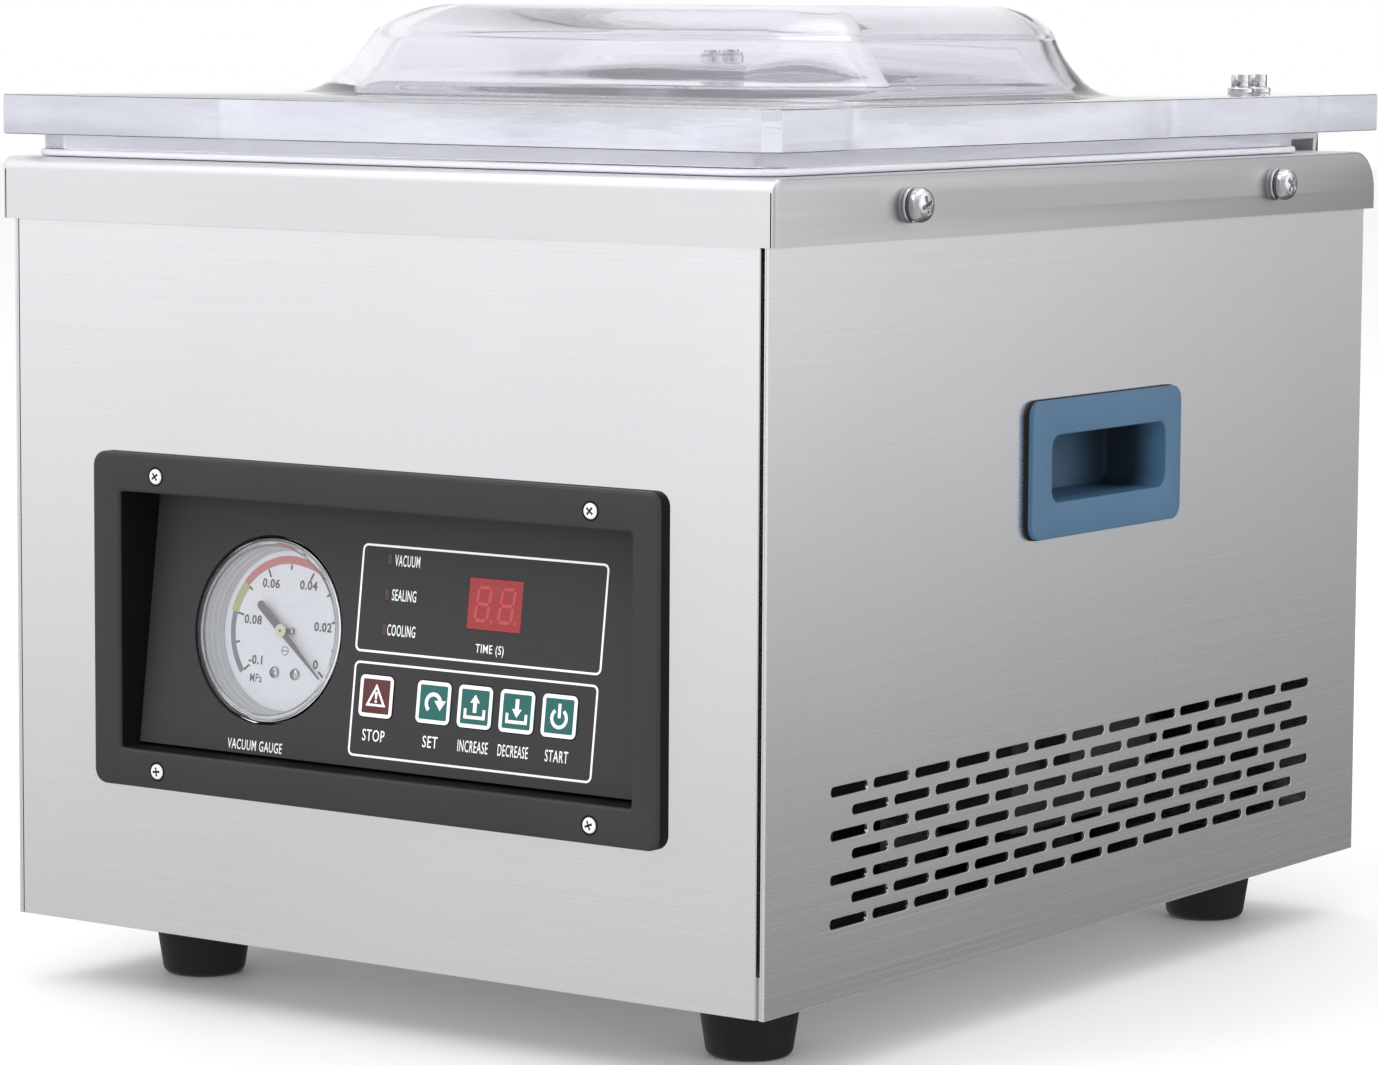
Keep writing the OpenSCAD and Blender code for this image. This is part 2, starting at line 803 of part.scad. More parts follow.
module dome_outside() {
    rings(concat([dome_ring(0, dome_h, 0, lid_top - 3)],
                 [for (i = [0 : dome_levels]) dome_ring(level_h(i, dome_h), dome_h, 0, lid_top + level_h(i, dome_h))]));
}

module dome_inside() {
    rings(concat([dome_ring(0, dome_h, dome_wall, flange_z - rim_h)],
                 [for (i = [0 : dome_levels])
                     dome_ring(level_h(i, dome_h), dome_h, dome_wall, lid_top - dome_skin + level_h(i, dome_h))]));
}

// Rectangle with its corners cut off by c
module chamfered(w, d, c) {
    intersection() {
        square([w, d], center = true);
        rotate(45) square(sqrt(2) * ((w + d) / 2 - c), center = true);
    }
}

module rim_outline(grow) {
    translate([0, (rim_front + rim_rear) / 2])
        rounded(rim_w + 2 * grow, rim_rear - rim_front + 2 * grow, rim_r + grow);
}

module lid() {
    color("#e0e0ec", 0.5) difference() {
        union() {
            translate([0, 0, flange_z]) linear_extrude(lid_t) chamfered(lid_w, lid_d, lid_chamfer);
            translate([0, 0, flange_z - rim_h]) linear_extrude(rim_h + 1) difference() {
                rim_outline(0);
                rim_outline(-rim_land);
            }
            dome_outside();
        }
        dome_inside();
        for (s = [-1, 1], y = lid_bolt_y) translate([s * arm_x, y, flange_z - 1]) cylinder(h = lid_t + 2, r = 2.2);
    }
}

module lid_gasket() {
    low = cover_top + gasket_gap;
    color("white") translate([0, 0, low]) linear_extrude(flange_z - rim_h - 0.02 - low) difference() {
        rim_outline(gasket_lip);
        rim_outline(gasket_lip - gasket_w);
    }
}

module lid_bolts() {
    color("silver") for (s = [-1, 1], y = lid_bolt_y) translate([s * arm_x, y, lid_top]) {
        translate([0, 0, 0.02]) difference() {
            cylinder(h = 2, r = 5);
            translate([0, 0, -1]) cylinder(h = 4, r = 2.05);
        }
        difference() {
            union() {
                translate([0, 0, 2.04]) cylinder(h = 5, r = 3.5);
                translate([0, 0, -lid_t - arm_t - 2.9]) cylinder(h = lid_t + arm_t + 5, r = 2);
            }
            translate([0, 0, 4.5]) cylinder(h = 4, r = 1.75, $fn = 6);
        }
        translate([0, 0, -lid_t - arm_t - 2.7]) nut(7, 2.4, 2.05);
    }
}

module pressure_bar() {
    color("lightgray") difference() {
        span([-bar_len / 2, bar_y - 7, 296.4], [bar_len / 2, bar_y + 7, flange_z - 0.02]);
        span([-bar_len / 2 - 1, bar_y - 4.5, 296], [bar_len / 2 + 1, bar_y + 4.5, 300]);
    }
}

module pressure_pad() {
    color("orangered") span([-bar_len / 2, bar_y - 4.4, 291], [bar_len / 2, bar_y + 4.4, 299.95]);
}

// ---- pump and motor ----

module pump_body() {
    color("dimgray") difference() {
        union() {
            translate([pump_x0, motor_y - 50, pump_z0]) cube(pump_size);
            translate([pump_in[0], pump_in[1], pump_z0 + pump_size[2] - 1]) cylinder(h = 16, r = 12);
            translate([pump_x0 + pump_size[0] - 1, motor_y - 30, pump_z0 + 20]) cube([14, 60, 60]);
            translate([pump_x0 + 20, motor_y - 30, pump_z0 + pump_size[2] - 1]) cylinder(h = 10, r = 9);
        }
        translate([pump_in[0], pump_in[1], pump_z0 + 80]) cylinder(h = 60, r = hose_bore);
        translate([0, motor_y, motor_z]) rod_x(pump_x0 - 1, 30, 9);
    }
}

module motor_housing() {
    color("slategray") difference() {
        union() {
            translate([0, motor_y, motor_z]) rod_x(motor_x0, pump_x0 - air - motor_x0, motor_r);
            span([-100, motor_y - 32, floor_z + 1.6], [-40, motor_y + 32, motor_z - 30]);
            span([-85, motor_y - 20, motor_z + 40], [-45, motor_y + 20, motor_z + 62]);
        }
        translate([0, motor_y, motor_z]) rod_x(motor_x0 - 1, 160, 6.05);
    }
}

module motor_fan() {
    color("gray") translate([0, motor_y, motor_z]) {
        rod_x(-146, 170, 6);
        rod_x(-143, 10, 14);
        for (a = [0 : 45 : 315]) rotate([a, 0, 0]) span([-143, 12, -1.2], [-133, 46, 1.2]);
    }
}

module fan_cowl() {
    color("#303032") translate([0, motor_y, motor_z]) difference() {
        rod_x(-151, 25.9, motor_r + 1.5);
        rod_x(-149.5, 40, motor_r);
        for (a = [0 : 30 : 330]) rotate([a, 0, 0]) translate([0, 30, 0]) rod_x(-160, 20, 5);
    }
}

module pump_mounts() {
    color("#1c1d1f") for (x = [pump_x0 + 14, pump_x0 + 76], y = [motor_y - 38, motor_y + 38])
        translate([x, y, floor_z + 1.55]) cylinder(h = pump_z0 - 0.05 - floor_z - 1.55, r = 9);
}

module transformer_core() {
    color("dimgray") translate([-95, -70, floor_z + 1.6]) difference() {
        translate([-36, -26, 0]) cube([72, 52, 62]);
        for (s = [-1, 1]) translate([s * 18 - 6, -30, 12]) cube([12, 60, 38]);
    }
}

module transformer_coil() {
    color("goldenrod") translate([-95, -70, floor_z + 1.6]) difference() {
        translate([-23.8, -38, 12.2]) cube([47.6, 76, 37.6]);
        translate([-12.2, -26.2, 10]) cube([24.4, 52.4, 42]);
        for (s = [-1, 1]) translate([s * 30 - 6.2, -26.2, 10]) cube([12.4, 52.4, 42]);
    }
}

module vacuum_valve() {
    color("goldenrod") translate([pump_in[0], pump_in[1], 0]) difference() {
        union() {
            translate([-17, -17, valve_z]) cube([34, 34, 28]);
            rotate([0, 0, 180]) translate([0, 0, valve_z + 14]) rod_y(16, 34, 13);
        }
        translate([0, 0, valve_z - 1]) cylinder(h = 15, r = hose_bore);
        translate([0, 0, valve_z + 14]) rod_x(-30, 30, hose_bore);
    }
}

// Tube from the chamber floor down, round one bend and across to the valve
module hose_solid(r) {
    low = valve_z + 14;
    translate([0, 0, low + hose_bend]) cylinder(h = tub_floor - air - low - hose_bend, r = r);
    translate([hose_bend, 0, low + hose_bend]) rotate([90, 0, 0])
        rotate([0, 0, 180]) rotate_extrude(angle = 90) translate([hose_bend, 0]) circle(r);
    translate([0, 0, low]) rod_x(hose_bend, pump_in[0] - 17 - air - hose_bend, r);
}

module suction_hose() {
    color("#2a2a2c") translate([0, suction_y, 0]) difference() {
        hose_solid(hose_r);
        hose_solid(hose_bore);
    }
}

// ---- back panel fittings ----

module power_switch_body() {
    color("#202022") translate([switch_pos[0], 0, switch_pos[1]]) difference() {
        union() {
            wall_y(half_d + 0.05, 2) rounded(30.5, 24.5, 1.5);
            wall_y(half_d - 24, 25) square([27, 20.2], center = true);
            for (x = [-8, 0, 8]) span([x - 2.4, half_d - 33, -0.4], [x + 2.4, half_d - 23, 0.4]);
        }
        wall_y(half_d - 12, 20) square([21, 17.4], center = true);
        translate([0, rocker_y, 0]) rod_x(-12, 24, trunnion_r + 0.05);
    }
}

module power_switch_rocker() {
    color("darkred") translate([switch_pos[0], rocker_y, switch_pos[1]]) rotate([rocker_rest, 0, 0]) {
        wall_x(-10.2, 20.4) polygon([[-4, -6], [4.4, -8], [3.4, 0], [4.4, 8], [-4, 6]]);
        rod_x(-11.8, 23.6, trunnion_r);
    }
}

module cable_gland() {
    color("#202022") translate([gland_pos[0], 0, gland_pos[1]]) {
        difference() {
            union() {
                rod_y(half_d - 15, 16, 8);
                translate([0, half_d + 0.05, 0]) rotate([-90, 0, 0]) cylinder(h = 5, r = 11, $fn = 6);
                rod_y(half_d + 5, 6, 8.6);
            }
            rod_y(half_d - 20, 40, gland_bore);
        }
        translate([0, half_d - sheet - 5.1, 0]) rotate([-90, 0, 0]) nut(20, 5, 8.05);
    }
}

// ---- lid switch ----

module lid_switch_body() {
    color("#202022") translate([lid_switch_pos[0], lid_switch_pos[1], 0]) difference() {
        union() {
            span([-14, -5, 272], [14, 5, cover_top - sheet - air]);
            translate([0, 0, cover_top - 4]) cylinder(h = 6, r = 3.8);
        }
        translate([0, 0, 275]) cylinder(h = 40, r = plunger_r + 0.05);
    }
}

module lid_switch_plunger() {
    color("firebrick") translate([lid_switch_pos[0], lid_switch_pos[1], 277])
        cylinder(h = flange_z - 0.3 - 277, r = plunger_r);
}

base_plate();
front_panel();
left_side_panel();
right_side_panel();
back_panel();
top_cover();
chamber_tub();
filler_plate();
suction_strainer();
seal_bar();
seal_bar_insulator();
heating_ribbons();
lift_pistons();
lift_cylinders();
lift_springs();
panel_bezel();
control_overlay();
display_window();
indicator_lights();
control_board();
key_stop();
key_set();
key_increase();
key_decrease();
key_start();
gauge_case();
gauge_stem();
gauge_dial();
gauge_needle();
gauge_lens();
handle_left();
handle_right();
rubber_feet();
foot_screws();
cover_screws();
panel_screws();
back_panel_screws();
hinge_brackets();
hinge_shaft();
hinge_arms();
hinge_springs();
lid();
lid_gasket();
lid_bolts();
pressure_bar();
pressure_pad();
pump_body();
motor_housing();
motor_fan();
fan_cowl();
pump_mounts();
transformer_core();
transformer_coil();
vacuum_valve();
suction_hose();
power_switch_body();
power_switch_rocker();
cable_gland();
lid_switch_body();
lid_switch_plunger();
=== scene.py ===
"""Looks for a tabletop chamber vacuum packing machine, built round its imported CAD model. Metres."""

import math

import bmesh
import bpy
from mathutils import Matrix, Vector


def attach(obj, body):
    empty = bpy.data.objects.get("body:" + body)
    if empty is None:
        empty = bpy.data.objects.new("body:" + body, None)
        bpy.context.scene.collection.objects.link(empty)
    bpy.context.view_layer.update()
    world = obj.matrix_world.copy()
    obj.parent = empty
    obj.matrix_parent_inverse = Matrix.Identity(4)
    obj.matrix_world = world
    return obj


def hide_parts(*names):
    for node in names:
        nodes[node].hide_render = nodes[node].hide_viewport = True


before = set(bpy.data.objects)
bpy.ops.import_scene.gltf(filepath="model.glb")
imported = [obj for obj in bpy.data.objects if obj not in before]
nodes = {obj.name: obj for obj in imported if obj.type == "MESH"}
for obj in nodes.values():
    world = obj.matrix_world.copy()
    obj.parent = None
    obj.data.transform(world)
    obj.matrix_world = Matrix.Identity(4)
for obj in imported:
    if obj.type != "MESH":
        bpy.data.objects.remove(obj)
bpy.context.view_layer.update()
scene = bpy.context.scene
MM = 0.001

# ---------------------------------------------------------------- camera

YAW, PITCH, ROLL = math.radians(34.945), math.radians(5.759), math.radians(0.323)
CAMERA_AT = Vector((1.02847, -1.49303, 0.35178))
LENS = 127.85
SHIFT = (0.00461, -0.02614)


def make_camera():
    forward = Vector((-math.sin(YAW) * math.cos(PITCH), math.cos(YAW) * math.cos(PITCH), -math.sin(PITCH)))
    right = Vector((math.cos(YAW), math.sin(YAW), 0))
    up = right.cross(forward)
    rolled = right * math.cos(ROLL) + up * math.sin(ROLL)
    up = rolled.cross(forward)
    turn = Matrix((rolled, up, -forward)).transposed()
    data = bpy.data.cameras.new("camera")
    data.lens = LENS
    data.sensor_width = 36
    data.shift_x, data.shift_y = SHIFT
    data.clip_start, data.clip_end = 0.05, 60
    camera = bpy.data.objects.new("camera", data)
    camera.matrix_world = Matrix.Translation(CAMERA_AT) @ turn.to_4x4()
    scene.collection.objects.link(camera)
    scene.camera = camera


make_camera()

# ---------------------------------------------------------------- shader helpers


def smooth_range(tree, value, low, high):
    """0 to 1 as value goes from low to high."""
    n = tree.nodes.new("ShaderNodeMapRange")
    n.interpolation_type = "SMOOTHSTEP"
    n.inputs["From Min"].default_value, n.inputs["From Max"].default_value = low, high
    tree.links.new(value, n.inputs["Value"])
    return n.outputs["Result"]


class Shader:
    """A material with one Principled shader, and short names for the nodes that feed it."""

    def __init__(self, name, color, rough, metal=0.0, **sockets):
        self.m = bpy.data.materials.new(name)
        self.m.use_nodes = True
        self.t = self.m.node_tree
        self.b = self.t.nodes["Principled BSDF"]
        self.out = self.t.nodes["Material Output"]
        self.b.inputs["Base Color"].default_value = (*color, 1)
        self.b.inputs["Roughness"].default_value = rough
        self.b.inputs["Metallic"].default_value = metal
        for key, value in sockets.items():
            self.b.inputs[key.replace("_", " ")].default_value = value
        self.color, self.rough = color, rough
        self.height = None

    def node(self, kind, **values):
        n = self.t.nodes.new("ShaderNode" + kind)
        for key, value in values.items():
            setattr(n, key, value)
        return n

    def link(self, a, b):
        self.t.links.new(a, b)

    def coords(self, stretch=(1, 1, 1)):
        tc = self.node("TexCoord")
        mapping = self.node("Mapping")
        mapping.inputs["Scale"].default_value = stretch
        self.link(tc.outputs["Object"], mapping.inputs["Vector"])
        return mapping.outputs["Vector"]

    def noise(self, scale, stretch=(1, 1, 1), detail=3.0, rough=0.55):
        n = self.node("TexNoise")
        n.inputs["Scale"].default_value = scale
        n.inputs["Detail"].default_value = detail
        n.inputs["Roughness"].default_value = rough
        self.link(self.coords(stretch), n.inputs["Vector"])
        return n.outputs["Fac"]

    def spread(self, fac, low, high):
        """fac, which is mostly between 0.3 and 0.7, carried to the range low..high."""
        n = self.node("MapRange")
        for key, value in zip(("From Min", "From Max", "To Min", "To Max"), (0.3, 0.7, low, high)):
            n.inputs[key].default_value = value
        self.link(fac, n.inputs["Value"])
        return n.outputs["Result"]

    def mottle(self, fac, amount, tint=None):
        """Varies the base colour by the share amount, towards tint if one is given."""
        ramp = self.node("ValToRGB")
        dark = [c * (1 - amount) for c in self.color]
        light = list(tint) if tint else [min(1, c * (1 + amount)) for c in self.color]
        ramp.color_ramp.elements[0].position, ramp.color_ramp.elements[1].position = 0.3, 0.7
        ramp.color_ramp.elements[0].color = (*dark, 1)
        ramp.color_ramp.elements[1].color = (*light, 1)
        self.link(fac, ramp.inputs["Fac"])
        self.link(ramp.outputs["Color"], self.b.inputs["Base Color"])

    def vary_rough(self, fac, amount):
        self.link(self.spread(fac, self.rough - amount, self.rough + amount), self.b.inputs["Roughness"])

    def bump(self, height, depth, strength=1.0):
        """Adds a bump of the given depth in metres. Further calls stack."""
        n = self.node("Bump")
        n.inputs["Strength"].default_value = strength
        n.inputs["Distance"].default_value = depth
        self.link(height, n.inputs["Height"])
        if self.height is not None:
            self.link(self.height, n.inputs["Normal"])
        self.height = n.outputs["Normal"]
        self.link(self.height, self.b.inputs["Normal"])


def brushed(name, color, rough, lines=(5, 5, 1100), depth=1.6e-6, cloud=0.015, aniso=0.3):
    s = Shader(name, color, rough, 1.0, Anisotropic=aniso, Anisotropic_Rotation=0.25)
    tangent = s.node("Tangent", direction_type="RADIAL", axis="Z")
    s.link(tangent.outputs["Tangent"], s.b.inputs["Tangent"])
    fine = s.noise(1.0, lines, 2.0)
    s.vary_rough(fine, 0.03)
    s.mottle(s.noise(9.0, (1, 1, 1), 3.0), cloud)
    s.bump(fine, depth)
    return s.m


def moulded(name, color, rough, grain=1400.0, depth=2.5e-5, amount=0.06, **sockets):
    """Moulded plastic or rubber: a fine spark texture, with slightly uneven gloss."""
    s = Shader(name, color, rough, **sockets)
    fine = s.noise(grain, (1, 1, 1), 2.0)
    broad = s.noise(18.0, (1, 1, 1), 3.0)
    s.mottle(broad, amount)
    s.vary_rough(fine, 0.06)
    s.bump(fine, depth)
    return s.m


def handle_plastic():
    """Blue moulding, with painted shade in the grip's pocket: darker towards the pocket's floor and its rear end."""
    s = Shader("handle_blue", (0.052, 0.122, 0.208), 0.45)
    fine = s.noise(1500.0, (1, 1, 1), 2.0)
    s.mottle(s.noise(18.0), 0.05)
    own_blue = s.b.inputs["Base Color"].links[0].from_socket
    # painted shade: inside the pocket the blue blends towards near-black navy, more towards the floor and the rear
    # end
    tc, parts = s.node("TexCoord"), s.node("SeparateXYZ")
    s.link(tc.outputs["Object"], parts.inputs[0])
    inward = s.node("Math", operation="ABSOLUTE")
    s.link(parts.outputs["X"], inward.inputs[0])
    deep = smooth_range(s.t, inward.outputs[0], 0.1615, 0.150)
    rearward_shade = smooth_range(s.t, parts.outputs["Y"], 0.015, 0.045)
    dark = s.node("Math", operation="MULTIPLY_ADD")
    dark.inputs[1].default_value, dark.inputs[2].default_value = 0.65, 0.28
    s.link(rearward_shade, dark.inputs[0])
    share = s.node("Math", operation="MULTIPLY")
    s.link(deep, share.inputs[0])
    s.link(dark.outputs[0], share.inputs[1])
    mix = s.node("Mix", data_type="RGBA")
    s.link(share.outputs[0], mix.inputs["Factor"])
    s.link(own_blue, mix.inputs[6])
    mix.inputs[7].default_value = (0.004, 0.008, 0.016, 1)
    s.link(mix.outputs[2], s.b.inputs["Base Color"])
    s.vary_rough(fine, 0.06)
    s.bump(fine, 3e-5)
    return s.m


def bright_metal(name, color, rough, amount=0.05):
    s = Shader(name, color, rough, 1.0)
    s.mottle(s.noise(260.0), amount)
    s.vary_rough(s.noise(700.0, (1, 1, 1), 2.0), 0.05)
    s.bump(s.noise(1200.0, (1, 1, 1), 2.0), 4e-6)
    return s.m


def printed(name, color, rough=0.45):
    s = Shader(name, color, rough)
    s.mottle(s.noise(900.0, (1, 1, 1), 2.0), 0.03)
    s.bump(s.noise(2600.0, (1, 1, 1), 2.0), 6e-6)
    return s.m


def clear(name, tint, rough, ior=1.49, ripple=0.0, body=1.0):
    s = Shader(name, tint, rough, Transmission_Weight=body, IOR=ior)
    if ripple:
        s.bump(s.noise(26.0, (1, 1, 1), 2.0), ripple)
        s.bump(s.noise(160.0, (1, 1, 1), 2.0), ripple * 0.05)
    else:
        s.bump(s.noise(300.0, (1, 1, 1), 2.0), 1e-6)
    return s.m


def frosted():
    """Polished edge of thick acrylic: milky, with faint smears."""
    s = Shader("frosted_acrylic", (0.74, 0.75, 0.83), 0.12, Transmission_Weight=0.5, IOR=1.49)
    smear = s.noise(1.0, (20, 20, 90), 4.0, 0.6)
    s.mottle(smear, 0.06, (0.80, 0.81, 0.88))
    s.vary_rough(s.noise(30.0), 0.05)
    s.bump(smear, 4e-4)
    return s.m


def thin_pane(name):
    """A thin clear pane: what is behind it shows straight through, with a Fresnel gloss on top."""
    s = Shader(name, (1, 1, 1), 0.05)
    s.t.nodes.remove(s.b)
    through = s.node("BsdfTransparent")
    through.inputs["Color"].default_value = (0.97, 0.975, 0.98, 1)
    gloss = s.node("BsdfGlossy")
    gloss.inputs["Roughness"].default_value = 0.04
    fresnel = s.node("Fresnel")
    fresnel.inputs["IOR"].default_value = 1.45
    mix = s.node("MixShader")
    s.link(fresnel.outputs["Fac"], mix.inputs[0])
    s.link(through.outputs["BSDF"], mix.inputs[1])
    s.link(gloss.outputs["BSDF"], mix.inputs[2])
    s.link(mix.outputs["Shader"], s.out.inputs["Surface"])
    return s.m


MAT = {
    "case_steel": brushed("brushed_case_steel", (0.80, 0.80, 0.82), 0.26, (5, 5, 1800), 3.5e-7),
    "cover_steel": brushed("brushed_cover_steel", (0.78, 0.78, 0.80), 0.36, (4, 4, 1500), 1.2e-6),
    # darker copy of the cover steel for its side lips: painted shade
    "cover_steel_painted_side_shade": brushed("brushed_cover_painted_side_shade", (0.61, 0.61, 0.62), 0.36, (4, 4, 1500), 1.2e-6),
    # darker than the case steel: painted shade for the chamber's shadowed inside
    "chamber_steel": brushed("drawn_steel_painted_shade", (0.50, 0.51, 0.53), 0.33, (60, 60, 60), 1e-5, 0.04, 0.0),
    "white_board": moulded("white_board", (0.86, 0.86, 0.84), 0.5, 700.0, 3e-5, 0.03),
    "aluminium": brushed("extruded_aluminium", (0.80, 0.80, 0.81), 0.35, (4, 900, 900), 8e-6, 0.02, 0.3),
    "insulator_brown": moulded("phenolic_brown", (0.16, 0.07, 0.03), 0.55, 900.0, 3e-5, 0.15),
    "ribbon_alloy": bright_metal("heating_ribbon_alloy", (0.62, 0.55, 0.44), 0.3),
    "bright_steel": bright_metal("bright_screw_steel", (0.70, 0.70, 0.72), 0.14),
    "hinge_steel": brushed("hinge_steel", (0.72, 0.72, 0.74), 0.34, (6, 6, 700), 1e-5, 0.04, 0.0),
    "cylinder_black": moulded("anodised_black", (0.03, 0.03, 0.032), 0.4, 1200.0, 1e-5, 0.1),
    "bezel_plastic": moulded("bezel_plastic", (0.029, 0.029, 0.031), 0.45,
                             1500.0, 8e-6, 0.08, Specular_IOR_Level=0.3),
    # near-black copy of the bezel plastic: painted shade on the recess walls, the outer right wall and the screw
    # recesses
    "bezel_painted_shade": moulded("bezel_plastic_painted_shade", (0.004, 0.004, 0.0045), 0.6,
                           1500.0, 8e-6, 0.08, Specular_IOR_Level=0.2),
    "screw_zinc": moulded("screw_zinc", (0.72, 0.72, 0.73), 0.35, 1500.0, 8e-6, 0.05),
    "plate_plastic": moulded("plate_film", (0.031, 0.031, 0.033), 0.5,
                             2200.0, 1.2e-5, 0.04, Specular_IOR_Level=0.3),
    "red_window": moulded("red_window", (0.28, 0.022, 0.026), 0.30, 1200.0, 3e-6, 0.05),
    "board_green": moulded("circuit_board_green", (0.02, 0.11, 0.05), 0.4, 500.0, 2e-5, 0.2),
    "key_red": moulded("key_red", (0.085, 0.016, 0.016), 0.42, 1800.0, 1e-5, 0.05),
    "key_teal": moulded("key_teal", (0.005, 0.108, 0.098), 0.42, 1800.0, 1e-5, 0.05),
    "brass": bright_metal("brass", (0.80, 0.58, 0.28), 0.28, 0.1),
    "dial_white": printed("dial_white", (0.90, 0.90, 0.95), 0.55),
    "needle_grey": printed("needle_grey", (0.11, 0.11, 0.12), 0.4),
    "handle_blue": handle_plastic(),
    "black_rubber": moulded("black_rubber", (0.008, 0.008, 0.0085), 0.62,
                            900.0, 4e-5, 0.15, Specular_IOR_Level=0.3),
    "clear_acrylic": clear("clear_acrylic", (0.955, 0.955, 1.0), 0.0, 1.49, 4e-5, 0.97),
    "frosted_acrylic": frosted(),
    "lens_clear": thin_pane("clear_lens"),
    "lens_ring": clear("moulded_clear_ring", (0.97, 0.975, 0.99), 0.08, 1.5),
    "red_silicone": moulded("red_silicone", (0.50, 0.08, 0.03), 0.5, 800.0, 3e-5, 0.05),
    "pump_iron": moulded("painted_iron", (0.07, 0.075, 0.08), 0.5, 300.0, 9e-5, 0.12),
    "motor_paint": moulded("motor_enamel", (0.14, 0.16, 0.19), 0.38, 260.0, 6e-5, 0.08),
    "fan_plastic": moulded("fan_plastic", (0.10, 0.10, 0.105), 0.45),
    "copper": bright_metal("wound_copper", (0.75, 0.36, 0.18), 0.3, 0.15),
    "switch_red": moulded("switch_red", (0.40, 0.012, 0.012), 0.3, 1200.0, 5e-6, 0.05),
    "print_white": printed("print_white", (0.88, 0.88, 0.88)),
    "print_dark": printed("print_dark", (0.03, 0.03, 0.035)),
    "print_red": printed("print_red", (0.62, 0.17, 0.17)),
    "print_olive": printed("print_olive", (0.50, 0.50, 0.24)),
    "print_slate": printed("print_slate", (0.15, 0.19, 0.24)),
    "lamp_dim": moulded("unlit_lamp", (0.060, 0.028, 0.030), 0.4),
    "segment_red": printed("segment_red", (0.45, 0.052, 0.056), 0.35),
    "hub_yellow": printed("hub_yellow", (0.78, 0.78, 0.55), 0.35),
    "liner_white": moulded("gauge_liner", (0.60, 0.61, 0.64), 0.35, 1200.0, 1e-5, 0.05),
    "steel_dark": bright_metal("spring_steel_dark", (0.22, 0.22, 0.24), 0.35),
}


def white_silicone():
    s = Shader("milky_silicone", (0.80, 0.80, 0.85), 0.38, Subsurface_Weight=0.3, Subsurface_Scale=0.002)
    fine = s.noise(700.0, (1, 1, 1), 2.0)
    s.mottle(s.noise(30.0), 0.03)
    s.vary_rough(fine, 0.05)
    s.bump(fine, 1e-5)
    return s.m


MAT["white_silicone"] = white_silicone()

# ---------------------------------------------------------------- mesh helpers


def put(name, verts, faces, mat, body, where=None, angle=32, cad=()):
    """Makes a piece from points in metres, closes it up, and rides it on a body."""
    mesh = bpy.data.meshes.new(name)
    mesh.from_pydata([tuple(v) for v in verts], [], faces)
    bm = bmesh.new()
    bm.from_mesh(mesh)
    bmesh.ops.remove_doubles(bm, verts=bm.verts, dist=1e-7)
    bmesh.ops.recalc_face_normals(bm, faces=bm.faces)
    bm.to_mesh(mesh)
    bm.free()
    if where is not None:
        mesh.transform(where)
    smooth_by_angle(mesh, angle)
    mesh.materials.append(MAT[mat])
    ob = bpy.data.objects.new(name, mesh)
    scene.collection.objects.link(ob)
    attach(ob, body)
    if cad:
        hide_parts(*cad)
    return ob


def shade_faces(ob, mat, test):
    """Gives a second material to the faces whose middle and normal pass the test."""
    ob.data.materials.append(MAT[mat])
    last = len(ob.data.materials) - 1
    for face in ob.data.polygons:
        if test(face.center, face.normal):
            face.material_index = last


def smooth_by_angle(mesh, angle):
    mesh.polygons.foreach_set("use_smooth", [True] * len(mesh.polygons))
    mesh.set_sharp_from_angle(angle=math.radians(angle))


class Solid:
    """Collects the points and faces of several closed shapes that make one piece."""

    def __init__(self):
        self.v, self.f = [], []

    def add(self, verts, faces):
        base = len(self.v)
        self.v += [Vector(v) for v in verts]
        self.f += [tuple(base + i for i in face) for face in faces]
        return self

    def moved(self, matrix):
        self.v = [matrix @ v for v in self.v]
        return self

    def join(self, other):
        return self.add(other.v, other.f)


def loft(rings, cap=True, wrap=False):
    """Closed surface through rings that all have the same number of points."""
    n, m = len(rings[0]), len(rings)
    verts = [p for ring in rings for p in ring]
    faces = []
    for j in range(m if wrap else m - 1):
        a, b = j * n, ((j + 1) % m) * n
        faces += [(a + k, a + (k + 1) % n, b + (k + 1) % n, b + k) for k in range(n)]
    if cap and not wrap:
        faces += [tuple(range(n)), tuple(range((m - 1) * n, m * n))]
    return Solid().add(verts, faces)


def lathe(profile, steps=64):
    """Turns (radius, height) points about Z. Points of radius 0 close the ends."""
    rings = []
    for r, z in profile:
        r = max(r, 1e-6)
        rings.append([(r * math.cos(2 * math.pi * k / steps), r * math.sin(2 * math.pi * k / steps), z)
                      for k in range(steps)])
    closed = profile[0] != profile[-1]
    return loft(rings if closed else rings[:-1], cap=closed, wrap=not closed)


def fillet(points, radii, steps=5):
    """Rounds the corners of an open 2D line: a point's radius is how far its corner is cut back."""
    out = []
    for i, p in enumerate(points):
        r = radii[i] if isinstance(radii, (list, tuple)) else radii
        if i in (0, len(points) - 1) or r <= 0:
            out.append(tuple(p))
            continue
        p, a, b = Vector(p), Vector(points[i - 1]), Vector(points[i + 1])
        da, db = (a - p), (b - p)
        r = min(r, da.length * 0.49, db.length * 0.49)
        s, e = p + da.normalized() * r, p + db.normalized() * r
        for k in range(steps + 1):
            t = k / steps
            out.append(tuple((1 - t) ** 2 * s + 2 * t * (1 - t) * p + t * t * e))
    return out


def box_ring(w, h, r, cx=0.0, cy=0.0, n=8):
    """Rounded rectangle as 4 * (n + 1) points, going round from the upper right."""
    pts = []
    for sx, sy, a0 in ((1, 1, 0), (-1, 1, 90), (-1, -1, 180), (1, -1, 270)):
        for k in range(n + 1):
            a = math.radians(a0 + 90 * k / n)
            pts.append((cx + sx * (w / 2 - r) + r * math.cos(a), cy + sy * (h / 2 - r) + r * math.sin(a)))
    return pts


